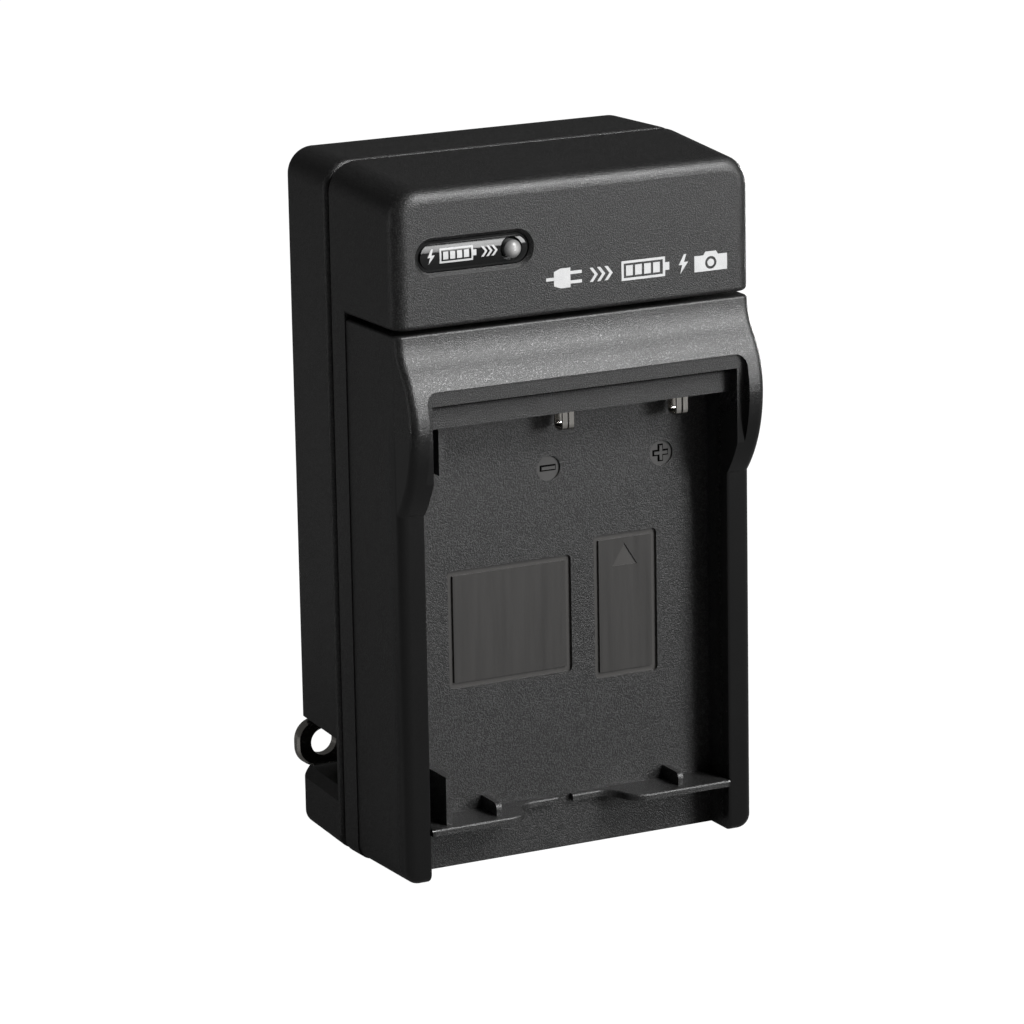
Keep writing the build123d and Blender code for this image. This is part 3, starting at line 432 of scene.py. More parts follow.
def make_cradle_black():
    """Case plastic with satin fields on the bay floor."""
    material, tree, shader = new_material("cradle_black", Specular_IOR_Level=plastic_gloss)
    place = object_place(tree)
    x, y, z = axes_of(tree, place)
    across = math_node(tree, "LESS_THAN", math_node(tree, "ABSOLUTE", x, 0.0), satin_half)
    sunk = math_node(tree, "GREATER_THAN", y, sunk_depth)
    on_disc = between(tree, z, disc_level - disc_reach, disc_level + disc_reach)
    # Painted shade round the polarity signs: dark and metallic, so it reflects nothing.
    sign_shade = math_node(tree, "MULTIPLY", math_node(tree, "MULTIPLY", sunk, on_disc), sign_shade_line(tree, x, z))
    on_shelf = math_node(tree, "MULTIPLY", between(tree, y, *shelf_front),
                         between(tree, x, -bay_half, bay_half))
    below = math_node(tree, "MULTIPLY", on_shelf, math_node(tree, "LESS_THAN", z, ledge_low))
    # Painted shade in the crease below the ledge, darker towards the ledge, and metallic so it reflects
    # nothing.
    crease_shade = math_node(tree, "MULTIPLY", below, ramp(tree, z, 0.0, 0.9, *shelf_crease))
    satin = math_node(tree, "MULTIPLY", across, math_node(tree, "GREATER_THAN", y, satin_depth))
    grain = use_group(tree, grain_group, place, grain_cells)
    haze = use_group(tree, haze_group, place, 0.012)["Haze"]
    lines = use_group(tree, lines_group, place, (900.0, 900.0, 40.0))["Lines"]
    grained = math_node(tree, "ADD", ramp(tree, haze, plastic_rough - 0.03, plastic_rough + 0.03, 0.3, 0.7),
                        ramp(tree, grain["Speckle"], 0.06, -0.06, 0.3, 0.7))
    outside = ramp(tree, math_node(tree, "ABSOLUTE", x, 0.0), 0.0, 1.0, *rim_inside)
    forward = math_node(tree, "MULTIPLY", ramp(tree, y, 0.0, 1.0, *rim_front),
                        ramp(tree, z, 0.0, 1.0, *rim_top))
    rubbed_and_shaded = math_node(tree, "MULTIPLY", outside, forward)
    worn = math_node(tree, "MULTIPLY", math_node(tree, "SUBTRACT", plastic_rough, rim_rough), rubbed_and_shaded)
    grained = math_node(tree, "SUBTRACT", grained, worn)
    drawn = ramp(tree, lines, satin_rough - 0.05, satin_rough + 0.05, 0.3, 0.7)
    choice = add_node(tree, "ShaderNodeMix", {"data_type": "FLOAT"})
    tree.links.new(satin, choice.inputs["Factor"])
    tree.links.new(grained, choice.inputs[2])
    tree.links.new(drawn, choice.inputs[3])
    tree.links.new(choice.outputs[0], shader.inputs["Roughness"])
    black = plastic_colour(tree, place, haze, grain, plastic_black)
    polished = mix_colour(tree, lines, grey(0.017, 0.05), grey(0.026, 0.06))
    polished = mix_colour(tree, sunk, polished, grey(0.036, 0.05))
    polished = mix_colour(tree, on_disc, polished, grey(0.045, 0.02))
    polished = mix_colour(tree, sign_shade, polished, grey(0.004))
    # Rubbed rims: the smoother grain is wear, and the darker colour is painted shade.
    black = mix_colour(tree, rubbed_and_shaded, black, grey(0.003))
    black = mix_colour(tree, crease_shade, black, grey(0.004))
    tree.links.new(mix_colour(tree, satin, black, polished), shader.inputs["Base Color"])
    tree.links.new(math_node(tree, "MAXIMUM", sign_shade, crease_shade), shader.inputs["Metallic"])
    smooth = math_node(tree, "MAXIMUM", satin, rubbed_and_shaded)
    height = math_node(tree, "MULTIPLY", grain["Height"], ramp(tree, smooth, 1.0, 0.06))
    lay_grain(tree, shader, height, grain_depth, 1.0)
    return material


cradle_black = make_cradle_black()
print(dress(cradle_black, "cradle_plate"))

# %% [markdown]
# The charge window is a polished insert, so it mirrors the panels as soft shapes. A perfect mirror looks
# like a computer picture: real polish has a faint haze and hairline scratches, which go into the roughness.
# The lamp behind it is a small moulded dome, milky at its middle, with painted shade that darkens it
# towards the rim.

# %% Window and lamp
lamp_axis = (-8.8 * MM, 80.3 * MM)
lamp_radius = 1.15 * MM


def make_window_gloss():
    """Polished black insert."""
    material, tree, shader = new_material("window_gloss", Specular_IOR_Level=0.36)
    place = object_place(tree)
    haze = use_group(tree, haze_group, place, 0.004)["Haze"]
    scratches = use_group(tree, lines_group, place, (120.0, 2600.0, 2600.0))["Lines"]
    rough = math_node(tree, "ADD", ramp(tree, haze, 0.07, 0.13, 0.3, 0.7),
                      ramp(tree, scratches, 0.0, 0.04, 0.55, 0.75))
    tree.links.new(rough, shader.inputs["Roughness"])
    tree.links.new(mix_colour(tree, haze, grey(0.006), grey(0.011, -0.02)), shader.inputs["Base Color"])
    return material


def make_lamp_lens():
    """Milky dome with painted shade that darkens it towards the rim."""
    material, tree, shader = new_material("lamp_lens", Specular_IOR_Level=0.5)
    place = object_place(tree)
    x, _, z = axes_of(tree, place)
    away_x = math_node(tree, "SUBTRACT", x, lamp_axis[0])
    away_z = math_node(tree, "SUBTRACT", z, lamp_axis[1])
    square = math_node(tree, "ADD", math_node(tree, "MULTIPLY", away_x, away_x),
                       math_node(tree, "MULTIPLY", away_z, away_z))
    reach = ramp(tree, math_node(tree, "POWER", square, 0.5), 0.0, 1.0, 0.2 * lamp_radius, lamp_radius)
    haze = use_group(tree, haze_group, place, 0.0008)["Haze"]
    milk = mix_colour(tree, haze, grey(0.32, 0.01), grey(0.4, 0.01))
    # Painted shade: the colour turns grey towards the rim of the dome.
    tree.links.new(mix_colour(tree, reach, milk, grey(0.13)), shader.inputs["Base Color"])
    tree.links.new(ramp(tree, haze, 0.22, 0.34, 0.3, 0.7), shader.inputs["Roughness"])
    return material


print(dress(make_window_gloss(), "charge_window"), dress(make_lamp_lens(), "status_led"))

# %% [markdown]
# The battery contacts and the mains blades are stamped from strip and nickel plated. Plating follows the
# strip, so the rolling lines show through it as faint streaks in the gloss, and fingers leave a slow haze.
# The blades lie along X when folded, the contacts hang along Z, so the same maker takes the number of cells
# along each axis.

# %% Plated metal
nickel_bright = (0.76, 0.74, 0.70, 1.0)
nickel_dull = (0.6, 0.57, 0.52, 1.0)


def make_metal(name, bright, dull, cells, rough, patch, depth=0.0000015):
    """Rolled or drawn metal: streaked roughness, slow tarnish and a very fine bump."""
    material, tree, shader = new_material(name, Metallic=1.0)
    place = object_place(tree)
    lines = use_group(tree, lines_group, place, cells)["Lines"]
    haze = use_group(tree, haze_group, place, patch)["Haze"]
    streaked = math_node(tree, "ADD", ramp(tree, lines, -0.07, 0.07, 0.3, 0.7),
                         ramp(tree, haze, rough - 0.05, rough + 0.07))
    tree.links.new(streaked, shader.inputs["Roughness"])
    tarnish = ramp(tree, haze, 0.0, 1.0, 0.35, 0.7)
    tree.links.new(mix_colour(tree, tarnish, bright, dull), shader.inputs["Base Color"])
    lay_grain(tree, shader, lines, depth, 0.6)
    return material


nickel = (nickel_bright, nickel_dull)
contact_nickel = make_metal("contact_nickel", *nickel, (6000.0, 6000.0, 300.0), 0.15, 0.003)
blade_nickel = make_metal("blade_nickel", *nickel, (250.0, 5000.0, 5000.0), 0.2, 0.006)
print(dress(contact_nickel, "contact_negative", "contact_positive"))
print(dress(blade_nickel, "prong_left", "prong_right"))

# %% [markdown]
# The rest of the metal is inside the case or sunk in its back: zinc-plated screws, brass springs that feed
# the blades, and the tinned legs of the lamp. They share the maker above, and only the colours, the
# direction of the lines and the gloss differ.

# %% Screws, springs and wires
zinc = ((0.6, 0.61, 0.62, 1.0), (0.42, 0.42, 0.4, 1.0))
brass = ((0.78, 0.58, 0.26, 1.0), (0.55, 0.38, 0.15, 1.0))
tin = ((0.72, 0.72, 0.7, 1.0), (0.5, 0.5, 0.48, 1.0))
screw_steel = make_metal("screw_steel", *zinc, (3500.0, 500.0, 3500.0), 0.36, 0.002)
spring_brass = make_metal("spring_brass", *brass, (4000.0, 4000.0, 250.0), 0.28, 0.004)
tinned_wire = make_metal("tinned_wire", *tin, (5000.0, 400.0, 5000.0), 0.32, 0.002)
print(dress(screw_steel, "case_screws", "board_screws", "retainer_screws"))
print(dress(spring_brass, "plug_contact_left", "plug_contact_right"), dress(tinned_wire, "status_led_leads"))

# %% [markdown]
# The blade hubs and the plate that holds them are moulded in a plain, slightly slicker black than the case,
# with a finer grain. The transformer's bobbin is the same kind of plastic in dark grey, with the same
# recipe and other values.

# %% Inner mouldings
hub_black = make_case_black("hub_black", 0.016, 0.42, 0.45, 3600.0, 0.00003)
bobbin_plastic = make_case_black("bobbin_plastic", 0.07, 0.48, 0.45, 3000.0, 0.00003)
print(dress(hub_black, "prong_hub_left", "prong_hub_right", "prong_retainer"))
print(dress(bobbin_plastic, "transformer_bobbin"))

# %% [markdown]
# A circuit board is glass cloth and resin under green lacquer. Copper runs under the lacquer show as
# lighter green bands with square corners, which a Brick texture gives without any drawing, and the cloth
# shows as a faint weave made of two waves. The edges of the board are cut, so there the lacquer's look
# fades into pale resin.

# %% Circuit board
board_edges = (-2.925 * MM, -1.325 * MM)


def wave_along(tree, value, cells):
    """Sine of a coordinate, from zero to one, with so many waves per metre."""
    angle = math_node(tree, "MULTIPLY", value, 2 * math.pi * cells)
    return ramp(tree, math_node(tree, "SINE", angle, 0.0), 0.0, 1.0, -1.0, 1.0)


def make_board_green():
    """Green lacquer over copper runs and glass cloth."""
    material, tree, shader = new_material("board_green", Specular_IOR_Level=0.5)
    place = object_place(tree)
    x, y, z = axes_of(tree, place)
    flat = add_node(tree, "ShaderNodeCombineXYZ")
    tree.links.new(x, flat.inputs[0])
    tree.links.new(z, flat.inputs[1])
    runs = add_node(tree, "ShaderNodeTexBrick", {"offset": 0.37, "squash": 0.6, "squash_frequency": 3},
                    {"Scale": 110.0, "Mortar Size": 0.035, "Mortar Smooth": 0.1, "Brick Width": 0.9,
                     "Row Height": 0.3})
    tree.links.new(flat.outputs[0], runs.inputs["Vector"])
    lacquer = mix_colour(tree, runs.outputs["Fac"], (0.02, 0.13, 0.05, 1.0), (0.05, 0.24, 0.09, 1.0))
    inside = math_node(tree, "MULTIPLY", math_node(tree, "GREATER_THAN", y, board_edges[0] + 0.1 * MM),
                       math_node(tree, "LESS_THAN", y, board_edges[1] - 0.1 * MM))
    tree.links.new(mix_colour(tree, inside, lacquer, (0.33, 0.36, 0.2, 1.0)), shader.inputs["Base Color"])
    weave = math_node(tree, "MULTIPLY", wave_along(tree, x, 1800.0), wave_along(tree, z, 1800.0))
    haze = use_group(tree, haze_group, place, 0.01)["Haze"]
    tree.links.new(ramp(tree, haze, 0.26, 0.4, 0.3, 0.7), shader.inputs["Roughness"])
    height = math_node(tree, "ADD", math_node(tree, "MULTIPLY", weave, 0.15), runs.outputs["Fac"])
    lay_grain(tree, shader, height, 0.00003, 0.5)
    return material


print(dress(make_board_green(), "circuit_board"))

# %% [markdown]
# The transformer has a ground ferrite core, dull dark grey with grinding lines and a few pores, and a
# winding wrapped in yellow tape whose turns overlap, so the tape has thin steps across the winding's axis.

# %% Transformer


def make_ferrite():
    """Ground ferrite with pores."""
    material, tree, shader = new_material("ferrite", Specular_IOR_Level=0.4)
    place = object_place(tree)
    lines = use_group(tree, lines_group, place, (400.0, 3000.0, 3000.0))["Lines"]
    pores = use_group(tree, dust_group, place, 0.0012)["Specks"]
    ground = mix_colour(tree, lines, grey(0.035, 0.02), grey(0.075, 0.01))
    tree.links.new(mix_colour(tree, pores, ground, grey(0.012)), shader.inputs["Base Color"])
    tree.links.new(ramp(tree, lines, 0.45, 0.65, 0.3, 0.7), shader.inputs["Roughness"])
    lay_grain(tree, shader, math_node(tree, "SUBTRACT", lines, pores), 0.00003, 0.6)
    return material


def make_winding_tape():
    """Yellow polyester tape in overlapping turns."""
    material, tree, shader = new_material("winding_tape", Specular_IOR_Level=0.5)
    place = object_place(tree)
    z = axes_of(tree, place)[2]
    turn = math_node(tree, "FRACT", math_node(tree, "MULTIPLY", z, 1 / (2.2 * MM)), 0.0)
    haze = use_group(tree, haze_group, place, 0.005)["Haze"]
    edge = ramp(tree, turn, 0.0, 1.0, 0.9, 0.96)
    tape = mix_colour(tree, haze, (0.62, 0.42, 0.05, 1.0), (0.75, 0.55, 0.09, 1.0))
    tree.links.new(mix_colour(tree, edge, tape, (0.38, 0.24, 0.03, 1.0)), shader.inputs["Base Color"])
    tree.links.new(ramp(tree, haze, 0.22, 0.36, 0.3, 0.7), shader.inputs["Roughness"])
    lay_grain(tree, shader, turn, 0.00006, 0.6)
    return material


print(dress(make_ferrite(), "transformer_core"), dress(make_winding_tape(), "transformer_winding"))

# %% [markdown]
# Each capacitor is an aluminium can in a dark blue sleeve. The sleeve shrinks over the rim and leaves the
# end bare, so the far end is a disc of bare metal, found by its depth and its distance from the can's axis,
# and a paler stripe along the can marks one lead.

# %% Capacitors
capacitor_level = 68.0 * MM


def make_capacitor(name, axis_x, can_end, can_radius):
    """Sleeved can whose bare end lies at the given depth."""
    material, tree, shader = new_material(name, Specular_IOR_Level=0.5)
    place = object_place(tree)
    x, y, z = axes_of(tree, place)
    away_x = math_node(tree, "SUBTRACT", x, axis_x)
    away_z = math_node(tree, "SUBTRACT", z, capacitor_level)
    square = math_node(tree, "ADD", math_node(tree, "MULTIPLY", away_x, away_x),
                       math_node(tree, "MULTIPLY", away_z, away_z))
    middle = math_node(tree, "LESS_THAN", square, (0.8 * can_radius) ** 2)
    bare = math_node(tree, "MULTIPLY", middle, math_node(tree, "GREATER_THAN", y, can_end - 0.6 * MM))
    stripe = math_node(tree, "GREATER_THAN", away_z, 0.8 * can_radius)
    haze = use_group(tree, haze_group, place, 0.004)["Haze"]
    lines = use_group(tree, lines_group, place, (2500.0, 200.0, 2500.0))["Lines"]
    sleeve = mix_colour(tree, haze, (0.02, 0.025, 0.07, 1.0), (0.03, 0.04, 0.1, 1.0))
    sleeve = mix_colour(tree, stripe, sleeve, grey(0.5, -0.02))
    can = mix_colour(tree, lines, grey(0.68), grey(0.8))
    tree.links.new(mix_colour(tree, bare, sleeve, can), shader.inputs["Base Color"])
    tree.links.new(bare, shader.inputs["Metallic"])
    tree.links.new(ramp(tree, lines, 0.24, 0.38, 0.3, 0.7), shader.inputs["Roughness"])
    lay_grain(tree, shader, lines, 0.000006, 0.5)
    return material


def can_size(name):
    """Where a can ends, and its radius, from the node's own box."""
    low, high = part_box(name)
    return high[1], (high[0] - low[0]) / 2


for can, axis_x in (("bulk_capacitor", -8.5 * MM), ("output_capacitor", 8.5 * MM)):
    print(dress(make_capacitor(can, axis_x, *can_size(can)), can))

# %% [markdown]
# Diodes, transistor and control chip are black epoxy bodies with tinned legs, each pair moulded as one
# solid, and the fuse resistor has a coloured coat with bands. A mask tells leg from body by place, so that
# each solid keeps one material: the mask goes to Metallic and picks the colour and the gloss.

# %% Parts on the board
diode_level = 36.5 * MM
diode_half = 2.5 * MM
transistor_leg_end = 0.675 * MM
chip_axis = -14.5 * MM
chip_half = 1.95 * MM
fuse_half = 3.5 * MM


def make_legged(name, leg_mask, bodies):
    """Body with tinned legs: leg_mask gives the legs from x, y and z, and bodies gives the body's colour."""
    material, tree, shader = new_material(name, Specular_IOR_Level=0.45)
    place = object_place(tree)
    x, y, z = axes_of(tree, place)
    leg = leg_mask(tree, x, y, z)
    haze = use_group(tree, haze_group, place, 0.003)["Haze"]
    grain = use_group(tree, grain_group, place, 4200.0)
    legs = mix_colour(tree, haze, grey(0.6), grey(0.75))
    tree.links.new(mix_colour(tree, leg, bodies(tree, x, y, z, haze), legs), shader.inputs["Base Color"])
    tree.links.new(leg, shader.inputs["Metallic"])
    tree.links.new(ramp(tree, grain["Speckle"], 0.3, 0.46, 0.3, 0.7), shader.inputs["Roughness"])
    lay_grain(tree, shader, grain["Height"], 0.00001, 0.5)
    return material


def beyond(tree, value, middle, half):
    """One where a coordinate is further than half from middle."""
    away = math_node(tree, "ABSOLUTE", math_node(tree, "SUBTRACT", value, middle), 0.0)
    return math_node(tree, "GREATER_THAN", away, half)


def epoxy(tree, x, y, z, haze):
    """Black epoxy."""
    return mix_colour(tree, haze, grey(0.014), grey(0.03, 0.02))


def diode_epoxy(tree, x, y, z, haze):
    """Black barrel with a pale ring near its upper end."""
    ring = math_node(tree, "SUBTRACT", 1.0, beyond(tree, z, diode_level + 1.5 * MM, 0.4 * MM))
    return mix_colour(tree, ring, epoxy(tree, x, y, z, haze), grey(0.55))


def banded_coat(tree, x, y, z, haze):
    """Blue-grey lacquer with four coloured bands."""
    colour = mix_colour(tree, haze, (0.22, 0.34, 0.38, 1.0), (0.32, 0.45, 0.5, 1.0))
    bands = ((-2.2, (0.25, 0.09, 0.03, 1.0)), (-1.0, (0.02, 0.02, 0.02, 1.0)), (0.2, (0.3, 0.04, 0.02, 1.0)),
             (2.0, (0.5, 0.36, 0.1, 1.0)))
    for place, band in bands:
        on_band = math_node(tree, "SUBTRACT", 1.0, beyond(tree, x, place * MM, 0.3 * MM))
        colour = mix_colour(tree, on_band, colour, band)
    return colour


legged = {
    "rectifier_diodes": (lambda tree, x, y, z: beyond(tree, z, diode_level, diode_half), diode_epoxy),
    "switching_transistor": (lambda tree, x, y, z: math_node(tree, "LESS_THAN", y, transistor_leg_end),
                             epoxy),
    "controller_chip": (lambda tree, x, y, z: beyond(tree, x, chip_axis, chip_half), epoxy),
    "fuse_resistor": (lambda tree, x, y, z: beyond(tree, x, 0.0, fuse_half), banded_coat),
}
for name, (leg_mask, bodies) in legged.items():
    print(dress(make_legged(name, leg_mask, bodies), name))

# %% [markdown]
# The front carries a white tampon print: a row of plain signs for plug, charging, battery and camera, and a
# shorter row in the charge window that points at the lamp. It could be painted by a texture, but a print is
# a thin layer of ink with a crisp edge, so it is a real sheet a few hundredths of a millimetre thick. Each
# sign is drawn once as a flat outline, and a Geometry Nodes tree repeats it along the row, gives it the
# ink's thickness and sets its material.

# %% Tree for a printed row
ink_thickness = 0.035 * MM


def make_row_tree():
    """Repeats a flat sign along X, thickens it and gives it the ink."""
    tree = bpy.data.node_groups.new("printed_row", "GeometryNodeTree")
    for name, kind in (("Sign", "Geometry"), ("Count", "Int"), ("Pitch", "Float"), ("Thickness", "Float"),
                       ("Ink", "Material")):
        tree.interface.new_socket(name, in_out="INPUT", socket_type="NodeSocket" + kind)
    tree.interface.new_socket("Print", in_out="OUTPUT", socket_type="NodeSocketGeometry")
    entry, leave = tree.nodes.new("NodeGroupInput"), tree.nodes.new("NodeGroupOutput")
    step = add_node(tree, "ShaderNodeCombineXYZ")
    line = add_node(tree, "GeometryNodeMeshLine", {"mode": "OFFSET"})
    copies = add_node(tree, "GeometryNodeInstanceOnPoints")
    real = add_node(tree, "GeometryNodeRealizeInstances")
    raised = add_node(tree, "GeometryNodeExtrudeMesh", {"mode": "FACES"}, {"Individual": False})
    back = add_node(tree, "GeometryNodeFlipFaces")
    both = add_node(tree, "GeometryNodeJoinGeometry")
    closed = add_node(tree, "GeometryNodeMergeByDistance", None, {"Distance": 0.001 * MM})
    inked = add_node(tree, "GeometryNodeSetMaterial")
    for start, end in ((entry.outputs["Pitch"], step.inputs[0]), (step.outputs[0], line.inputs["Offset"]),
                       (entry.outputs["Count"], line.inputs["Count"]),
                       (line.outputs[0], copies.inputs["Points"]),
                       (entry.outputs["Sign"], copies.inputs["Instance"]),
                       (copies.outputs[0], real.inputs[0]),
                       (real.outputs[0], raised.inputs["Mesh"]),
                       (entry.outputs["Thickness"], raised.inputs["Offset Scale"]),
                       (real.outputs[0], back.inputs[0]), (back.outputs[0], both.inputs[0]),
                       (raised.outputs[0], both.inputs[0]), (both.outputs[0], closed.inputs[0]),
                       (closed.outputs[0], inked.inputs[0]), (entry.outputs["Ink"], inked.inputs["Material"]),
                       (inked.outputs[0], leave.inputs[0])):
        tree.links.new(start, end)
    return tree


def make_print_white():
    """White ink: a little uneven, satin."""
    material, tree, shader = new_material("print_white", Specular_IOR_Level=0.4)
    place = object_place(tree)
    haze = use_group(tree, haze_group, place, 0.0012)["Haze"]
    grain = use_group(tree, grain_group, place, grain_cells)
    tree.links.new(mix_colour(tree, haze, grey(0.46, -0.01), grey(0.6)), shader.inputs["Base Color"])
    tree.links.new(ramp(tree, grain["Speckle"], 0.45, 0.6, 0.3, 0.7), shader.inputs["Roughness"])
    lay_grain(tree, shader, grain["Height"], 0.00002, 0.4)
    return material


row_tree = make_row_tree()
print_white = make_print_white()
row_inputs = {item.name: item.identifier for item in row_tree.interface.items_tree if item.in_out == "INPUT"}
print("row inputs", list(row_inputs))

# %% [markdown]
# A sign is a set of closed outlines on a 2D curve. Blender fills such a curve by the even-odd rule, so an
# outline inside another one becomes a hole. The filled sheet is stood up against the surface that carries
# it: the front of the upper block is flat, while the window is crowned, so there the sheet is first sliced
# into narrow strips and each point is then laid on the crown.

# %% Signs
block_front = -14.125 * MM
crown_front = -13.825 * MM
crown_radius = 4.93 * MM
crown_level = 80.3 * MM
ink_sunk = 0.01 * MM
strip_height = 0.25 * MM


def flat_front(z):
    """Front of the upper block."""
    return block_front


def crown(z):
    """Front of the crowned window at a height."""
    return crown_front + crown_radius - math.sqrt(crown_radius ** 2 - (z - crown_level) ** 2)


def filled(outlines):
    """Flat mesh of even-odd filled outlines, in the XY plane."""
    curve = bpy.data.curves.new("sign", "CURVE")
    curve.dimensions = "2D"
    curve.fill_mode = "BOTH"
    for outline in outlines:
        spline = curve.splines.new("POLY")
        spline.points.add(len(outline) - 1)
        for point, (u, v) in zip(spline.points, outline):
            point.co = (u, v, 0.0, 1.0)
        spline.use_cyclic_u = True
    holder = bpy.data.objects.new("sign", curve)
    scene.collection.objects.link(holder)
    bpy.context.view_layer.update()
    mesh = bpy.data.meshes.new_from_object(holder.evaluated_get(bpy.context.evaluated_depsgraph_get()))
    bpy.data.objects.remove(holder)
    return mesh


def stand_up(mesh, low_left, scale, surface, sliced):
    """Stands a flat sign on a surface that faces -Y, with its lower left corner at x and z."""
    shape = bmesh.new()
    shape.from_mesh(mesh)
    bmesh.ops.remove_doubles(shape, verts=shape.verts, dist=1e-6)
    for vert in shape.verts:
        vert.co = (low_left[0] + vert.co.x * scale, 0.0, low_left[1] + vert.co.y * scale)
    levels = [vert.co.z for vert in shape.verts]
    level = min(levels) + strip_height
    while sliced and level < max(levels):
        whole = shape.verts[:] + shape.edges[:] + shape.faces[:]
        bmesh.ops.bisect_plane(shape, geom=whole, plane_co=(0, 0, level), plane_no=(0, 0, 1), dist=1e-7)
        level += strip_height
    for vert in shape.verts:
        vert.co.y = surface(vert.co.z) + ink_sunk
    shape.normal_update()
    turned = [face for face in shape.faces if face.normal.y > 0]
    bmesh.ops.reverse_faces(shape, faces=turned)
    shape.to_mesh(mesh)
    shape.free()
    return mesh


def print_row(name, outlines, low_left, scale, surface, sliced=False, count=1, pitch=0.0):
    """One sign repeated along a row, as a plain mesh made by the tree."""
    sign = stand_up(filled(outlines), low_left, scale, surface, sliced)
    holder = bpy.data.objects.new(name, sign)
    scene.collection.objects.link(holder)
    modifier = holder.modifiers.new("row", "NODES")
    modifier.node_group = row_tree
    for socket, value in (("Count", count), ("Pitch", pitch), ("Thickness", ink_thickness),
                          ("Ink", print_white)):
        modifier[row_inputs[socket]] = value
    bpy.context.view_layer.update()
    row = bpy.data.meshes.new_from_object(holder.evaluated_get(bpy.context.evaluated_depsgraph_get()))
    holder.modifiers.remove(modifier)
    bpy.data.objects.remove(holder)
    return row


def box_line(left, low, right, high):
    """Closed rectangle."""
    return [(left, low), (right, low), (right, high), (left, high)]


def round_line(u, v, radius, steps=28):
    """Closed circle."""
    angles = [2 * math.pi * step / steps for step in range(steps)]
    return [(u + radius * math.cos(angle), v + radius * math.sin(angle)) for angle in angles]


print("sign tools ready")

# %% [markdown]
# The signs themselves are drawn in millimetres for a row 2.5 mm high. The battery shows where the tree
# saves work: its four bars are one bar repeated, and so are the chevrons that stand for current flowing.
# The window's row is the same set at three quarters of the size, without plug and camera.

# %% The two rows
plug = [[(0, 1.05), (1.1, 1.05), (1.1, 0.35), (2.0, 0.0), (3.4, 0.0), (3.4, 0.45), (5.0, 0.45), (5.0, 0.85),
         (3.4, 0.85), (3.4, 1.65), (5.0, 1.65), (5.0, 2.05), (3.4, 2.05), (3.4, 2.5), (2.0, 2.5), (1.1, 2.15),
         (1.1, 1.45), (0, 1.45)]]
chevron = [[(0, 0.35), (0.45, 0.35), (1.15, 1.25), (0.45, 2.15), (0, 2.15), (0.7, 1.25)]]
battery = [[(0, 0), (6.2, 0), (6.2, 0.75), (6.8, 0.75), (6.8, 1.75), (6.2, 1.75), (6.2, 2.5), (0, 2.5)],
           box_line(0.32, 0.32, 5.88, 2.18)]
bar = [box_line(0, 0, 0.95, 1.3)]
bolt = [[(0.25, 1.15), (1.0, 2.5), (1.35, 2.5), (1.0, 1.5), (1.6, 1.5), (0.45, 0.0), (0.75, 1.15)]]
camera_sign = [[(0, 0), (4.7, 0), (4.7, 2.05), (3.4, 2.05), (3.1, 2.5), (1.6, 2.5), (1.3, 2.05), (0, 2.05)],
               round_line(2.35, 1.05, 0.82), round_line(2.35, 1.05, 0.48)]
row_left, row_low = -4.2 * MM, 74.6 * MM
window_scale = 0.74
window_low = 79.4 * MM
window_left = -20.5 * MM


def sign_place(offset, rise=0.0):
    """Lower left corner of a sign in the front row."""
    return row_left + offset * MM, row_low + rise * MM


def window_place(offset, rise=0.0):
    """Lower left corner of a sign in the window's row."""
    return window_left + offset * window_scale * MM, window_low + rise * window_scale * MM


small = window_scale * MM
rows = [
    print_row("plug_sign", plug, sign_place(0), MM, flat_front),
    print_row("flow_sign", chevron, sign_place(6.1), MM, flat_front, count=3, pitch=1.05 * MM),
    print_row("battery_sign", battery, sign_place(10.6), MM, flat_front),
    print_row("battery_bars", bar, sign_place(11.25, 0.6), MM, flat_front, count=4, pitch=1.28 * MM),
    print_row("bolt_sign", bolt, sign_place(18.5), MM, flat_front),
    print_row("camera_sign", camera_sign, sign_place(21.0), MM, flat_front),
    print_row("window_bolt", bolt, window_place(0), small, crown, True),
    print_row("window_battery", battery, window_place(2.5), small, crown, True),
    print_row("window_bars", bar, window_place(3.15, 0.6), small, crown, True, count=4, pitch=1.28 * small),
    print_row("window_flow", chevron, window_place(10.2), small, crown, True, count=3, pitch=0.95 * small),
]
print("rows", [len(row.polygons) for row in rows])

# %% [markdown]
# All rows are ink on the charger's body, so they become one piece that rides on it. Joining them in a bmesh
# keeps the piece at the origin, with its place in its mesh as a CAD node has it.

# %% One print


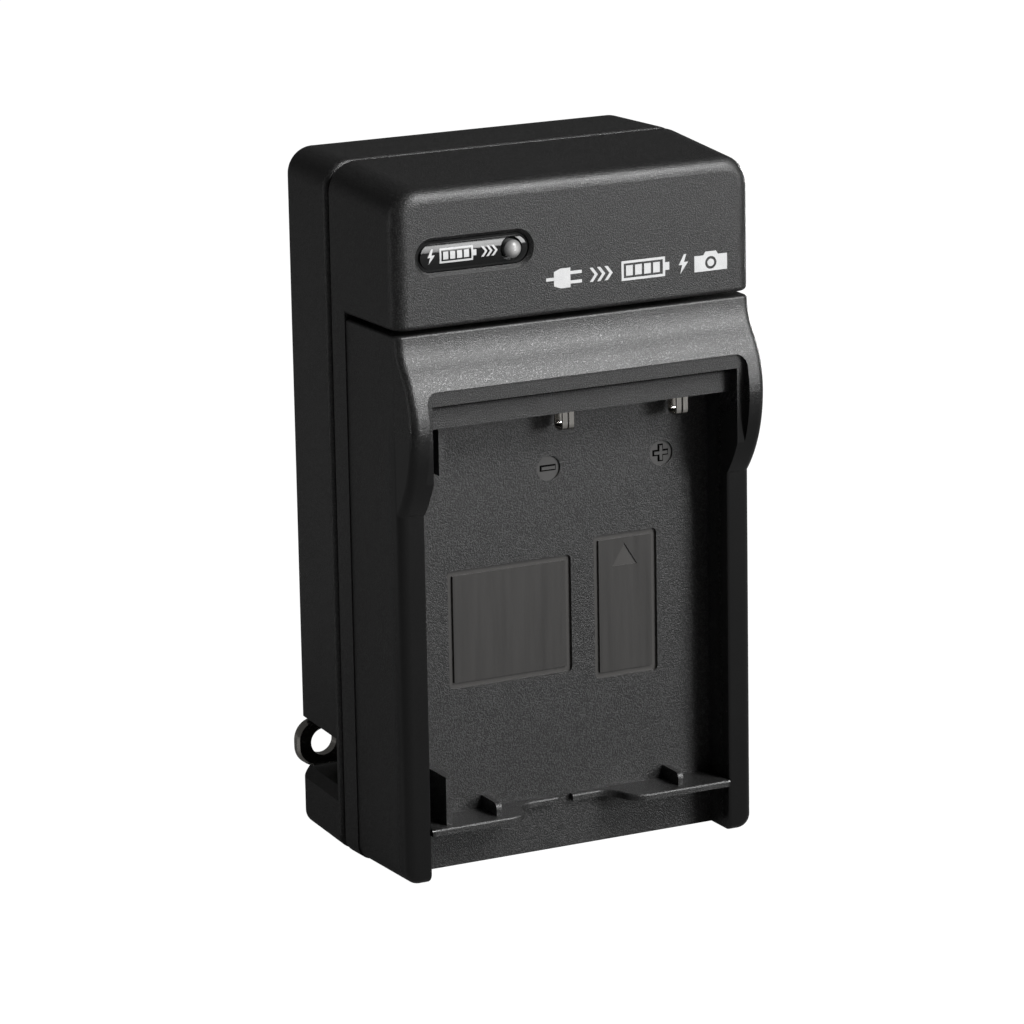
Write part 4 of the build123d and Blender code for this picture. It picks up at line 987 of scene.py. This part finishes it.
def join_rows(name, meshes, material):
    """One object from several plain meshes."""
    shape = bmesh.new()
    for mesh in meshes:
        shape.from_mesh(mesh)
    joined = bpy.data.meshes.new(name)
    shape.to_mesh(joined)
    shape.free()
    joined.materials.clear()
    joined.materials.append(material)
    for mesh in meshes:
        bpy.data.meshes.remove(mesh)
    piece = bpy.data.objects.new(name, joined)
    scene.collection.objects.link(piece)
    return piece


front_print = join_rows("front_print", rows, print_white)
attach(front_print, "charger")
print("print has", len(front_print.data.polygons), "faces")

# %% [markdown]
# The floor is a large pale sheet. To the camera most of it glows white, so that the background stays white
# without more light on the charger. Mirrored in the plastic it glows far less and its matte rest is darker,
# or every face that looks down would turn grey. The matte rest also keeps a soft shadow.

# %% Floor
floor_half = 6.0
floor_glow = 0.85
mirrored_glow = 0.05
floor_grey = 0.32
mirrored_grey = 0.12


def add_floor():
    """Large pale floor that shows white to the camera and keeps a soft shadow."""
    mesh = bpy.data.meshes.new("studio_floor")
    corners = [(-floor_half, -floor_half, 0), (floor_half, -floor_half, 0), (floor_half, floor_half, 0),
               (-floor_half, floor_half, 0)]
    mesh.from_pydata(corners, [], [(0, 1, 2, 3)])
    floor = bpy.data.objects.new("studio_floor", mesh)
    scene.collection.objects.link(floor)
    material = bpy.data.materials.new("studio_floor")
    material.use_nodes = True
    tree = material.node_tree
    tree.nodes.clear()
    output = add_node(tree, "ShaderNodeOutputMaterial")
    path = add_node(tree, "ShaderNodeLightPath")
    mirrored = math_node(tree, "MAXIMUM", path.outputs["Is Glossy Ray"], path.outputs["Is Transmission Ray"])
    share = math_node(tree, "MAXIMUM", math_node(tree, "MULTIPLY", path.outputs["Is Camera Ray"], floor_glow),
                      math_node(tree, "MULTIPLY", mirrored, mirrored_glow))
    matte = add_node(tree, "ShaderNodeBsdfDiffuse")
    tree.links.new(mix_colour(tree, mirrored, grey(floor_grey), grey(mirrored_grey)), matte.inputs["Color"])
    glow = add_node(tree, "ShaderNodeEmission", None, {"Color": grey(1.0), "Strength": 1.2})
    mix = add_node(tree, "ShaderNodeMixShader")
    tree.links.new(share, mix.inputs[0])
    tree.links.new(matte.outputs[0], mix.inputs[1])
    tree.links.new(glow.outputs[0], mix.inputs[2])
    tree.links.new(mix.outputs[0], output.inputs["Surface"])
    mesh.materials.append(material)
    return floor


floor = add_floor()
print("floor", floor.name)
